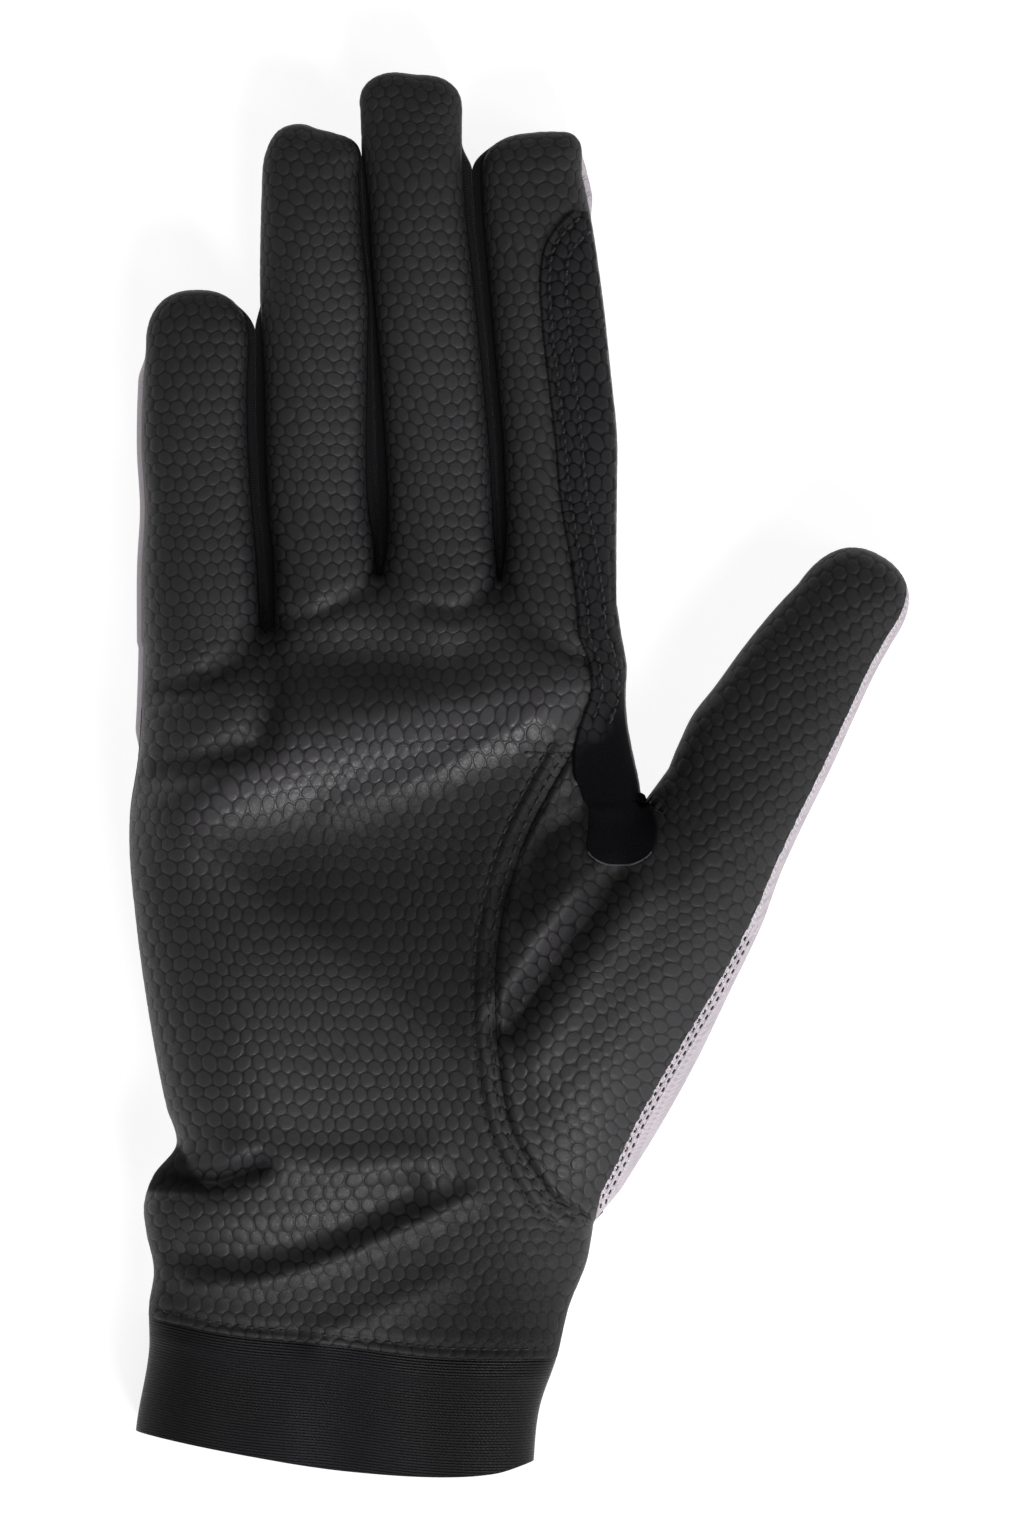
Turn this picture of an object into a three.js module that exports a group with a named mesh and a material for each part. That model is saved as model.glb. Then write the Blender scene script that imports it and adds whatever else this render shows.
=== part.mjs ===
import * as THREE from 'three';

// Right-hand riding glove lying on its back, palm up, in millimetres.
// The sections are laid out with +Y towards the fingertips, measured from the cuff seam,
// and +X towards the thumb, measured from the middle of the palm. z = 0 is the surface below.

// Driving sizes of the hand
const palmLength = 122;
const palmToKnuckles = 1.05;
const cuffLength = 21;
const thenarLength = 64;
const thumbLength = 56.4;
const thumbWidth = 25;
const thumbTilt = THREE.MathUtils.degToRad(32);

// Digits from the little finger to the index, and how much wider each is at its root
const digits = [
  { name: 'pinky', length: 53.2, width: 17.4, root: 1.154, tip: 8.0 },
  { name: 'ring', length: 81.0, width: 16.9, root: 1.128, tip: 6.2 },
  { name: 'middle', length: 89.7, width: 17.7, root: 1.116, tip: 6.0 },
  { name: 'index', length: 79.7, width: 18.4, root: 1.063, tip: 6.4 },
];

// Heights: rounded underside, straight side wall, then the crown above it
const backRise = 4.3;
const sideHeight = 3.4;

// Walls and the clearance between neighbouring pieces
const leatherWall = 1.2;
const fabricWall = 1.0;
const cuffWall = 1.6;
const patchWall = 0.8;
const seamGap = 0.4;
const patchLift = 0.5;
const patchInset = 1.2;

// Side outlines, as shares of palmLength (along) and palmWidth (left, right)
const leftSide = [
  { along: -0.19, left: -0.515 },
  { along: -0.12, left: -0.505 },
  { along: -0.02, left: -0.48 },
  { along: 0.04, left: -0.48 },
  { along: 0.09, left: -0.47 },
  { along: 0.14, left: -0.485 },
  { along: 0.18, left: -0.49 },
  { along: 0.22, left: -0.47 },
  { along: 0.26, left: -0.425 },
  { along: 0.315, left: -0.445 },
  { along: 0.4, left: -0.47 },
  { along: 0.56, left: -0.505 },
  { along: 0.7, left: -0.52 },
  { along: 0.8, left: -0.5 },
  { along: 0.95, left: -0.49 },
  { along: 1.02, left: -0.49 },
];
const wristSide = [
  { along: -0.2, right: 0.3 },
  { along: -0.1, right: 0.315 },
  { along: -0.03, right: 0.35 },
  { along: 0.04, right: 0.375 },
  { along: 0.1, right: 0.41 },
  { along: 0.155, right: 0.425 },
];
const thumbSeam = [
  { along: 0.155, right: 0.425 },
  { along: 0.17, right: 0.4 },
  { along: 0.185, right: 0.36 },
  { along: 0.235, right: 0.3 },
  { along: 0.295, right: 0.255 },
  { along: 0.37, right: 0.235 },
  { along: 0.45, right: 0.225 },
  { along: 0.535, right: 0.23 },
  { along: 0.61, right: 0.25 },
  { along: 0.69, right: 0.29 },
  { along: 0.755, right: 0.34 },
  { along: 0.8, right: 0.38 },
];
const indexSide = [
  { along: 0.73, right: 0.524 },
  { along: 0.765, right: 0.516 },
  { along: 0.805, right: 0.503 },
  { along: 0.845, right: 0.493 },
  { along: 0.88, right: 0.49 },
  { along: 0.92, right: 0.492 },
  { along: 0.96, right: 0.482 },
  { along: 1.0, right: 0.473 },
];

// Bend of the cuff seam and of the hem across the hand, as shares of palmLength and cuffLength
const cuffSeamBend = [
  { along: 0, rise: 0.026 },
  { along: 0.2, rise: 0.004 },
  { along: 0.45, rise: -0.01 },
  { along: 0.7, rise: -0.027 },
  { along: 1, rise: -0.031 },
];
const hemDepth = [
  { along: 0, depth: 0.76 },
  { along: 0.3, depth: 0.95 },
  { along: 0.55, depth: 1.07 },
  { along: 0.9, depth: 1.09 },
  { along: 1, depth: 1.0 },
];

// Where each crotch lies above or below the knuckle line, from the outer edge to the index
const crotchRise = [-0.055, -0.034, 0.044, 0.038, 0];

// Digit outlines: along as a share of the digit's length, the sides as shares of its width
const digitSides = {
  pinky: [
    { along: 0, left: -0.6, right: 0.54 },
    { along: 0.13, left: -0.6, right: 0.51 },
    { along: 0.31, left: -0.57, right: 0.46 },
    { along: 0.5, left: -0.6, right: 0.42 },
    { along: 0.69, left: -0.59, right: 0.41 },
    { along: 0.85, left: -0.56, right: 0.43 },
    { along: 1, left: -0.54, right: 0.42 },
  ],
  ring: [
    { along: 0, left: -0.49, right: 0.54 },
    { along: 0.1, left: -0.49, right: 0.52 },
    { along: 0.21, left: -0.545, right: 0.45 },
    { along: 0.5, left: -0.585, right: 0.445 },
    { along: 0.64, left: -0.62, right: 0.455 },
    { along: 0.785, left: -0.615, right: 0.385 },
    { along: 1, left: -0.58, right: 0.34 },
  ],
  middle: [
    { along: 0, left: -0.56, right: 0.56 },
    { along: 0.13, left: -0.495, right: 0.515 },
    { along: 0.26, left: -0.505, right: 0.485 },
    { along: 0.37, left: -0.54, right: 0.44 },
    { along: 0.5, left: -0.59, right: 0.375 },
    { along: 0.63, left: -0.645, right: 0.305 },
    { along: 0.75, left: -0.675, right: 0.24 },
    { along: 0.86, left: -0.735, right: 0.21 },
    { along: 1, left: -0.765, right: 0.22 },
  ],
  index: [
    { along: 0, left: -0.53, right: 0.53 },
    { along: 0.15, left: -0.48, right: 0.53 },
    { along: 0.25, left: -0.49, right: 0.535 },
    { along: 0.36, left: -0.51, right: 0.535 },
    { along: 0.5, left: -0.565, right: 0.475 },
    { along: 0.65, left: -0.62, right: 0.405 },
    { along: 0.84, left: -0.69, right: 0.28 },
    { along: 1, left: -0.71, right: 0.12 },
  ],
};

// Thumb outline in its own frame: along is a share of thumbLength, or of thenarLength below
// the root, and the sides are shares of thumbWidth
const thumbRoot = { along: 0.677, across: 0.653 };
const thumbInner = [
  { along: 0.02, inner: -0.48 },
  { along: 0.07, inner: -0.46 },
  { along: 0.2, inner: -0.5 },
  { along: 0.3, inner: -0.525 },
  { along: 0.41, inner: -0.5 },
  { along: 0.55, inner: -0.478 },
  { along: 0.7, inner: -0.435 },
  { along: 0.8, inner: -0.39 },
];
const thumbOuter = [
  { along: -1, border: 0.62, outer: 0.735 },
  { along: -0.9, border: 0.64, outer: 0.75 },
  { along: -0.8, border: 0.648, outer: 0.752 },
  { along: -0.69, border: 0.62, outer: 0.75 },
  { along: -0.5, border: 0.604, outer: 0.725 },
  { along: -0.3, border: 0.595, outer: 0.668 },
  { along: -0.1, border: 0.555, outer: 0.61 },
  { along: 0.02, border: 0.505, outer: 0.545 },
  { along: 0.14, border: 0.47, outer: 0.506 },
  { along: 0.4, border: 0.41, outer: 0.445 },
  { along: 0.55, border: 0.365, outer: 0.4 },
  { along: 0.7, border: 0.325, outer: 0.36 },
  { along: 0.8, border: 0.315, outer: 0.35 },
];

// Crown above the side wall and how far in from the outline it is reached, in millimetres
const handForm = [
  { along: -0.2, rise: 7.5, round: 13 },
  { along: 0, rise: 8, round: 14 },
  { along: 0.12, rise: 9.5, round: 16 },
  { along: 0.3, rise: 12, round: 20 },
  { along: 0.6, rise: 12.5, round: 20 },
  { along: 0.85, rise: 12, round: 17 },
  { along: 1, rise: 9.5, round: 11 },
  { along: 1.14, rise: 6.8, round: 9 },
  { along: 1.3, rise: 5.8, round: 8.6 },
  { along: 1.75, rise: 5.2, round: 8.2 },
];
const thumbForm = [
  { along: -0.3, rise: 13, round: 16 },
  { along: 0, rise: 12, round: 14 },
  { along: 0.3, rise: 9.5, round: 12 },
  { along: 0.6, rise: 7.8, round: 10.5 },
  { along: 1, rise: 6.5, round: 9.5 },
];
const crownPower = 2.2;

// Pads and hollows: centre and spread as shares of the palm, height in millimetres
const pads = [
  { name: 'thenar', across: 0.4, along: 0.42, wide: 0.2, high: 0.2, height: 5 },
  { name: 'heel', across: -0.28, along: 0.42, wide: 0.16, high: 0.2, height: 2.4 },
  { name: 'palmHollow', across: 0.02, along: 0.55, wide: 0.14, high: 0.16, height: -1.6 },
  { name: 'indexPad', across: 0.12, along: 0.965, wide: 0.08, high: 0.05, height: 1.8 },
  { name: 'pinkyPad', across: -0.3, along: 0.87, wide: 0.09, high: 0.05, height: 1.6 },
];

// Folds: soft ridges (height above 0) and grooves (below 0) along a path, its points as
// shares of the palm across and along, width as a share of palmWidth
const folds = [
  { name: 'pinch', width: 0.038, height: -6, path: [[-0.54, 0.212], [-0.24, 0.23]] },
  { name: 'pinchLip', width: 0.045, height: 1.8, path: [[-0.46, 0.29], [-0.16, 0.295]] },
  { name: 'wristLip', width: 0.04, height: 1.4, path: [[-0.46, 0.16], [-0.3, 0.165]] },
  { name: 'wristHollow', width: 0.055, height: -3.4, path: [[-0.38, 0.09], [-0.18, 0.1], [0.06, 0.165]] },
  { name: 'wristRidge', width: 0.04, height: 1.9, path: [[-0.34, 0.045], [-0.1, 0.075], [0.19, 0.15]] },
  { name: 'palmRidge', width: 0.045, height: 2.4, path: [[-0.4, 0.7], [-0.12, 0.775], [0.38, 0.895]] },
  { name: 'lowRidge', width: 0.035, height: 1.2, path: [[-0.18, 0.7], [0.11, 0.77], [0.27, 0.83]] },
  { name: 'knuckleHollow', width: 0.065, height: -2.8, path: [[-0.2, 0.92], [0.03, 0.885], [0.14, 0.905]] },
  { name: 'pinkyCrease', width: 0.032, height: -2, path: [[-0.24, 0.965], [-0.31, 0.92], [-0.46, 0.885]] },
  { name: 'indexCrease', width: 0.035, height: -1.8, path: [[0.23, 1.03], [0.31, 0.958], [0.38, 0.93]] },
  { name: 'thumbCrease', width: 0.04, height: -3.4, path: [[0.46, 0.63], [0.4, 0.555], [0.28, 0.47]] },
  { name: 'thumbLip', width: 0.035, height: 1.9, path: [[0.4, 0.62], [0.34, 0.545], [0.23, 0.485]] },
  { name: 'thumbHollow', width: 0.05, height: -1.8, path: [[0.33, 0.69], [0.32, 0.6]] },
];

// Reinforcement: its left edge as a share across the index finger, then across the palm
const patchOnIndex = [
  { along: 0.83, edge: 0.86 },
  { along: 0.8, edge: 0.7 },
  { along: 0.76, edge: 0.56 },
  { along: 0.7, edge: 0.48 },
  { along: 0.6, edge: 0.45 },
  { along: 0.5, edge: 0.455 },
  { along: 0.35, edge: 0.47 },
  { along: 0.2, edge: 0.52 },
  { along: 0.1, edge: 0.6 },
];
const patchOnPalm = [
  { along: 1, left: 0.395, lift: 0.5 },
  { along: 0.955, left: 0.4, lift: 0.5 },
  { along: 0.93, left: 0.415, lift: 0.5 },
  { along: 0.88, left: 0.423, lift: 0.5 },
  { along: 0.845, left: 0.405, lift: 0.5 },
  { along: 0.81, left: 0.39, lift: 0.6 },
  { along: 0.77, left: 0.388, lift: 1 },
  { along: 0.735, left: 0.405, lift: 2.3 },
];

// The loose tab at the crotch of the thumb, with how far it stands off in millimetres
const patchTab = [
  { along: 0.722, left: 0.413, right: 0.54, lift: 2.9 },
  { along: 0.7, left: 0.413, right: 0.55, lift: 2.3 },
  { along: 0.672, left: 0.41, right: 0.545, lift: 1.4 },
  { along: 0.654, left: 0.425, right: 0.525, lift: 1.2 },
  { along: 0.647, left: 0.45, right: 0.5, lift: 1.1 },
];

// Mesh steps
const wristRows = 4;
const seamRows = 12;
const knuckleRows = 5;
const digitRows = 8;
const thumbRows = 8;
const webRows = 3;
const cuffRows = 6;
const tipSteps = [0.4, 0.75, 0.93, 1];
const digitShares = [0, 0.067, 0.25, 0.5, 0.75, 0.933, 1];
const thumbShares = [0, 0.06, 0.2, 0.4, 0.6, 0.8, 0.94, 1];
const stripShares = [0, 0.5, 1];
const patchShares = [0, 0.25, 0.5, 0.75, 0.92, 1];
const tipPower = 2.4;
const tipShoulder = 0.25;

const knuckleWidth = digits.reduce((sum, digit) => sum + digit.width * digit.root, 0);
const palmWidth = knuckleWidth * palmToKnuckles;
const sideTop = backRise + sideHeight;

// Smooth value of one column of a section table
function readTable(rows, column, at) {
  const last = rows.length - 1;
  const falling = rows[last].along < rows[0].along;
  const passed = (row) => (falling ? row.along > at : row.along < at);
  let index = 0;
  while (index < last - 1 && passed(rows[index + 1])) {
    index += 1;
  }
  const from = rows[index];
  const to = rows[index + 1];
  const span = to.along - from.along;
  const t = THREE.MathUtils.clamp((at - from.along) / span, 0, 1);
  const slope = (a, b) => (b[column] - a[column]) / (b.along - a.along);
  const middle = slope(from, to);
  const before = index > 0 ? (slope(rows[index - 1], from) + middle) / 2 : middle;
  const after = index < last - 1 ? (slope(to, rows[index + 2]) + middle) / 2 : middle;
  const t2 = t * t;
  const t3 = t2 * t;
  const ends = (2 * t3 - 3 * t2 + 1) * from[column] + (3 * t2 - 2 * t3) * to[column];
  return ends + span * ((t3 - 2 * t2 + t) * before + (t3 - t2) * after);
}

function plan(x, y) {
  return new THREE.Vector2(x, y);
}

function between(a, b, share) {
  return plan(THREE.MathUtils.lerp(a.x, b.x, share), THREE.MathUtils.lerp(a.y, b.y, share));
}

// Point moved by a distance towards another
function towards(a, b, distance) {
  return b.clone().sub(a).setLength(distance).add(a);
}

function leftPoint(along) {
  return plan(readTable(leftSide, 'left', along) * palmWidth, along * palmLength);
}

function rightPoint(table, along) {
  return plan(readTable(table, 'right', along) * palmWidth, along * palmLength);
}

// Thumb frame
const thumbOrigin = plan(thumbRoot.across * palmWidth, thumbRoot.along * palmLength);
const thumbAxis = plan(Math.sin(thumbTilt), Math.cos(thumbTilt));
const thumbSide = plan(Math.cos(thumbTilt), -Math.sin(thumbTilt));

function thumbPoint(along, across) {
  const reach = along * (along < 0 ? thenarLength : thumbLength);
  return thumbOrigin.clone()
    .addScaledVector(thumbAxis, reach)
    .addScaledVector(thumbSide, across * thumbWidth);
}

// Rows of the palm from the cuff seam to the knuckles. Each has its left and right ends and
// the share of the cuff's and the knuckles' bend that it takes on
const crotchAlong = indexSide[0].along;
const crotch = rightPoint(indexSide, crotchAlong);
const seamEnds = thumbSeam[thumbSeam.length - 1].along;
const seamStarts = thumbSeam[0].along;

function palmRowList() {
  const rows = [];
  for (let i = 0; i <= wristRows; i += 1) {
    const along = seamStarts * i / wristRows;
    rows.push({ along, kind: 'wrist' });
  }
  for (let i = 1; i <= seamRows; i += 1) {
    const share = (i / seamRows) ** 1.25;
    rows.push({ along: seamStarts + (seamEnds - seamStarts) * share, kind: 'seam' });
  }
  for (let i = 0; i <= knuckleRows; i += 1) {
    const share = i / knuckleRows;
    const start = seamEnds + 0.012;
    rows.push({
      along: start + (1 - start) * share,
      endAlong: crotchAlong + (1 - crotchAlong) * share,
      kind: 'knuckle',
    });
  }
  return rows;
}

const palmRows = palmRowList();
const rootStarts = digits.map((digit, index) => digits.slice(0, index)
  .reduce((sum, other) => sum + other.width * other.root, 0));
const crotchShares = [...rootStarts, knuckleWidth].map((start) => start / knuckleWidth);

// Rise of the knuckle line over the straight row, by share across
function knuckleBend(share) {
  let index = 0;
  while (index < digits.length - 1 && crotchShares[index + 1] < share) {
    index += 1;
  }
  const span = crotchShares[index + 1] - crotchShares[index];
  const inside = (share - crotchShares[index]) / span;
  return THREE.MathUtils.lerp(crotchRise[index], crotchRise[index + 1], inside);
}

function rowBend(row, share) {
  const low = readTable(cuffSeamBend, 'rise', share) * (1 - row.along) ** 8;
  return low + knuckleBend(share) * row.along ** 8;
}

function palmLeft(row) {
  return leftPoint(row.along + rowBend(row, 0));
}

function palmRight(row) {
  if (row.kind === 'wrist') {
    const bend = rowBend(row, 1) * (1 - row.along / seamStarts);
    return rightPoint(wristSide, row.along + bend);
  }
  if (row.kind === 'seam') {
    return rightPoint(thumbSeam, row.along);
  }
  return rightPoint(indexSide, row.endAlong);
}

// Plan point of a palm row at a share across, with an end point of its own on the right
function palmPoint(row, right, share) {
  if (share === 0) {
    return palmLeft(row);
  }
  if (share === 1) {
    return right;
  }
  const left = palmLeft(row);
  const x = THREE.MathUtils.lerp(left.x, right.x, share);
  const straight = (row.along + rowBend(row, share)) * palmLength;
  const endError = right.y - (row.along + rowBend(row, 1)) * palmLength;
  return plan(x, straight + endError * share ** 14);
}

// Back rows end on the underside seam of the thumb instead of the palm's thumb seam
const wristPoint = rightPoint(thumbSeam, seamStarts);

function backRight(row) {
  if (row.kind === 'wrist') {
    return palmRight(row);
  }
  if (row.kind === 'seam') {
    const share = (row.along - seamStarts) / (seamEnds - seamStarts);
    return between(wristPoint, crotch, share * 0.97);
  }
  return palmRight(row);
}

// Digit rows above the knuckles
function digitFrame(index) {
  const digit = digits[index];
  const start = palmLeft(palmRows[palmRows.length - 1]).x;
  const end = rightPoint(indexSide, 1).x;
  const scale = (end - start) / knuckleWidth;
  const centre = start + (rootStarts[index] + digit.width * digit.root / 2) * scale;
  return { digit, centre, sides: digitSides[digit.name], index };
}

function digitPoint(frame, along, share, tip) {
  const { digit, centre, sides, index } = frame;
  const left = centre + readTable(sides, 'left', along) * digit.width;
  const right = centre + readTable(sides, 'right', along) * digit.width;
  const across = crotchShares[index]
    + share * (crotchShares[index + 1] - crotchShares[index]);
  const bend = knuckleBend(across) * palmLength * Math.max(0, 1 - along / 0.3) ** 3;
  const arc = (1 - Math.abs(2 * share - 1) ** tipPower) ** (1 / tipPower);
  const cap = tip * digit.tip * THREE.MathUtils.lerp(tipShoulder, 1, arc);
  return plan(THREE.MathUtils.lerp(left, right, share), palmLength + bend
    + along * digit.length + cap);
}

function digitGrid(index, baseRow) {
  const frame = digitFrame(index);
  const shoulder = 1 - frame.digit.tip / frame.digit.length;
  const grid = [baseRow];
  for (let i = 1; i <= digitRows; i += 1) {
    const along = shoulder * (i / digitRows);
    grid.push(digitShares.map((share) => digitPoint(frame, along, share, 0)));
  }
  for (const step of tipSteps) {
    grid.push(digitShares.map((share) => digitPoint(frame, shoulder, share, step)));
  }
  return grid;
}

// Plan grid of the palm, and of the four digits above it, for one column spacing
function handGrids(rightEnd) {
  const last = digitShares.length - 1;
  const across = [0];
  digits.forEach((digit, index) => {
    const span = crotchShares[index + 1] - crotchShares[index];
    digitShares.slice(1).forEach((share) => across.push(crotchShares[index] + span * share));
  });
  const palm = palmRows.map((row) => {
    const right = rightEnd(row);
    return across.map((share) => palmPoint(row, right, share > 0.9999 ? 1 : share));
  });
  const knuckles = palm[palm.length - 1];
  const fingers = digits.map((digit, index) => {
    const base = knuckles.slice(index * last, (index + 1) * last + 1);
    return digitGrid(index, base);
  });
  return { palm, fingers };
}

const front = handGrids(palmRight);
const back = handGrids(backRight);

// Thumb rows: the inner end follows the palm's seam, then the free inner side
const seamLine = palmRows.filter((row) => row.kind === 'seam').map(palmRight);
const thumbCrotch = towards(crotch, thumbPoint(thumbInner[0].along, thumbInner[0].inner), seamGap);

// Points of a seam moved sideways by the seam gap, towards the thumb
function seamPartner(line, first, last) {
  const sideways = (from, to) => {
    const run = to.clone().sub(from).normalize();
    return plan(run.y, -run.x);
  };
  return line.map((point, index) => {
    const before = sideways(index > 0 ? line[index - 1] : first, point);
    const after = sideways(point, index < line.length - 1 ? line[index + 1] : last);
    const corner = before.clone().add(after).divideScalar(1 + before.dot(after));
    return point.clone().addScaledVector(corner, seamGap);
  });
}

const thumbSeamLine = seamPartner(seamLine, wristPoint, crotch);
const undersideLine = palmRows.filter((row) => row.kind === 'seam').map(backRight);
const thumbUndersideLine = seamPartner(undersideLine, wristPoint, crotch);

function thumbRowList() {
  const rows = [];
  const low = -0.965;
  seamLine.forEach((point, index) => {
    const share = index / seamRows;
    const along = low * (1 - share) - 0.06 * share;
    rows.push({ along, seam: thumbSeamLine[index], underside: thumbUndersideLine[index] });
  });
  for (let i = 1; i < webRows; i += 1) {
    const share = i / webRows;
    rows.push({
      along: -0.1 + 0.11 * share,
      seam: between(thumbSeamLine[seamRows - 1], thumbCrotch, share),
      underside: between(thumbUndersideLine[seamRows - 1], thumbCrotch, share),
    });
  }
  rows.push({ along: 0.01, seam: thumbCrotch, underside: thumbCrotch });
  const top = thumbInner[thumbInner.length - 1].along;
  for (let i = 1; i <= thumbRows; i += 1) {
    const along = 0.03 + (top - 0.03) * i / thumbRows;
    const inner = thumbPoint(along, readTable(thumbInner, 'inner', along));
    rows.push({ along, seam: inner, underside: inner });
  }
  return rows.map((row, index) => {
    const outer = thumbPoint(row.along, readTable(thumbOuter, 'outer', row.along));
    const border = thumbPoint(row.along, readTable(thumbOuter, 'border', row.along));
    if (index > 0) {
      return { ...row, outer, borderShare: shareAcross(row.seam, border, outer) };
    }
    const start = towards(wristPoint, outer, seamGap * 2);
    return { ...row, outer: start, borderShare: 0.6 };
  });
}

// How far a point is from one end of a row to the other
function shareAcross(from, point, to) {
  return from.distanceTo(point) / (from.distanceTo(point) + point.distanceTo(to));
}

const thumbRowsBuilt = thumbRowList();
const thumbTop = thumbRowsBuilt[thumbRowsBuilt.length - 1];
const thumbTipReach = (1 - thumbTop.along) * thumbLength;

// Plan grid of the thumb from its inner end to the outline, with the round tip at the end.
// The last but one column is the border of the strip that wraps up from below
function thumbGrid(innerEnd) {
  const sharesOf = (row) => [...thumbShares.map((share) => share * row.borderShare), 1];
  const grid = thumbRowsBuilt.map((row) => sharesOf(row)
    .map((share) => between(innerEnd(row), row.outer, share)));
  for (const step of tipSteps) {
    grid.push(sharesOf(thumbTop).map((share) => {
      const arc = (1 - Math.abs(2 * share - 1) ** tipPower) ** (1 / tipPower);
      const cap = step * thumbTipReach * THREE.MathUtils.lerp(tipShoulder, 1, arc);
      return between(innerEnd(thumbTop), thumbTop.outer, share).addScaledVector(thumbAxis, cap);
    }));
  }
  return grid;
}

// Cuff rows from the seam to the hem
function cuffGrid(shares) {
  const seamRow = palmRows[0];
  const end = palmRight(seamRow);
  const grid = [];
  for (let i = 0; i <= cuffRows; i += 1) {
    const down = i / cuffRows;
    grid.push(shares.map((share) => {
      const seam = palmPoint(seamRow, end, share);
      const hem = -readTable(hemDepth, 'depth', share) * cuffLength;
      const y = THREE.MathUtils.lerp(seam.y - seamGap, hem, down);
      const left = readTable(leftSide, 'left', y / palmLength) * palmWidth;
      const right = readTable(wristSide, 'right', y / palmLength) * palmWidth;
      return plan(THREE.MathUtils.lerp(left, right, share), y);
    }));
  }
  return grid;
}

const cuffShares = [0, 0.02, 0.07, 0.15, 0.27, 0.42, 0.58, 0.73, 0.85, 0.93, 0.98, 1];
const cuff = cuffGrid(cuffShares);

// Outline of the whole glove, from the hem's left end round the digits to its right end
function columnOf(grid, index) {
  return grid.map((row) => row[index < 0 ? row.length + index : index]);
}

const thumbFull = thumbGrid((row) => row.seam);
const thumbFront = thumbFull.map((row) => row.slice(0, -1));
const thumbStrip = thumbFull.map((row) => {
  const [border, outer] = row.slice(-2);
  const start = towards(border, outer, seamGap);
  return stripShares.map((share) => between(start, outer, share));
});
const thumbBack = thumbGrid((row) => row.underside);
const sideStretches = {};

function digitRim(index) {
  const grid = front.fingers[index];
  const left = columnOf(grid, 0);
  const top = grid[grid.length - 1].slice(1, -1);
  const right = columnOf(grid, -1).reverse();
  return { left, top, right };
}

function buildOutline() {
  const rims = digits.map((digit, index) => digitRim(index));
  const half = Math.floor(rims[0].top.length / 2);
  const points = columnOf(cuff, 0).reverse();
  const mark = (name, list) => {
    sideStretches[name] = list;
  };
  const palmEdge = columnOf(front.palm, 0);
  const wrapEnds = palmRows.findIndex((row) => row.along > 0.74);
  mark('palmLeft', palmEdge.slice(0, wrapEnds + 1));
  mark('outerEdge', [
    ...palmEdge.slice(wrapEnds),
    ...rims[0].left.slice(1),
    ...rims[0].top.slice(0, half + 1),
  ]);
  points.push(...palmEdge, ...rims[0].left.slice(1), ...rims[0].top, ...rims[0].right);
  for (let index = 1; index < digits.length; index += 1) {
    const before = rims[index - 1];
    const rim = rims[index];
    mark(`gap${index}`, [
      ...before.top.slice(half),
      ...before.right,
      ...rim.left.slice(1),
      ...rim.top.slice(0, half + 1),
    ]);
    points.push(...rim.left.slice(1), ...rim.top, ...rim.right);
  }
  const knuckleSide = palmRows.filter((row) => row.kind === 'knuckle').map(palmRight).reverse();
  const lastRim = rims[rims.length - 1];
  mark('indexEdge', [...lastRim.top.slice(half), ...lastRim.right, ...knuckleSide.slice(1)]);
  points.push(...knuckleSide.slice(1));
  const thumbInnerEdge = columnOf(thumbBack, 0).slice(seamRows + webRows - 1);
  const thumbTipRow = thumbBack[thumbBack.length - 1].slice(1, -1);
  const stripStart = thumbStrip[thumbStrip.length - 1].slice(0, -1);
  const thumbOuterEdge = columnOf(thumbBack, -1).reverse();
  mark('thumbFree', [...thumbInnerEdge, ...thumbTipRow]);
  mark('thumbEdge', [...stripStart, ...thumbOuterEdge]);
  points.push(...thumbInnerEdge, ...thumbTipRow, ...stripStart, ...thumbOuterEdge);
  const wristEdge = palmRows.filter((row) => row.kind === 'wrist').map(palmRight).reverse();
  mark('palmRight', wristEdge);
  points.push(...wristEdge, ...columnOf(cuff, -1));
  return points;
}

const outline = buildOutline();

function planKey(point) {
  return `${point.x.toFixed(4)},${point.y.toFixed(4)}`;
}

// Outward direction in plan at each point of the outline
const outlineNormals = new Map();
outline.forEach((point, index) => {
  const before = outline[Math.max(0, index - 1)];
  const after = outline[Math.min(outline.length - 1, index + 1)];
  const run = after.clone().sub(before).normalize();
  outlineNormals.set(planKey(point), plan(-run.y, run.x));
});

// Distance in plan from a point to the outline
function edgeDistance(x, y) {
  let best = Infinity;
  for (let i = 1; i < outline.length; i += 1) {
    const a = outline[i - 1];
    const b = outline[i];
    const dx = b.x - a.x;
    const dy = b.y - a.y;
    const span = dx * dx + dy * dy;
    const t = span > 0 ? THREE.MathUtils.clamp(((x - a.x) * dx + (y - a.y) * dy) / span, 0, 1) : 0;
    const away = Math.hypot(x - a.x - t * dx, y - a.y - t * dy);
    best = Math.min(best, away);
  }
  return best;
}

// Distance from a place to the nearest point of a path given in shares of the palm
function pathDistance(path, place) {
  const points = path.map(([across, along]) => plan(across * palmWidth, along * palmLength));
  let best = Infinity;
  for (let i = 1; i < points.length; i += 1) {
    const run = points[i].clone().sub(points[i - 1]);
    const share = place.clone().sub(points[i - 1]).dot(run) / run.lengthSq();
    const near = between(points[i - 1], points[i], THREE.MathUtils.clamp(share, 0, 1));
    best = Math.min(best, near.distanceTo(place));
  }
  return best;
}

// Height of the soft ridges and grooves at a place on the palm
function foldHeight(x, y) {
  const place = plan(x, y);
  return folds.reduce((height, fold) => {
    const away = pathDistance(fold.path, place) / (fold.width * palmWidth);
    return height + fold.height * Math.exp(-away * away);
  }, 0);
}

function padHeight(x, y) {
  let height = 0;
  for (const pad of pads) {
    const dx = (x / palmWidth - pad.across) / pad.wide;
    const dy = (y / palmLength - pad.along) / pad.high;
    height += pad.height * Math.exp(-dx * dx - dy * dy);
  }
  return height;
}

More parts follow.
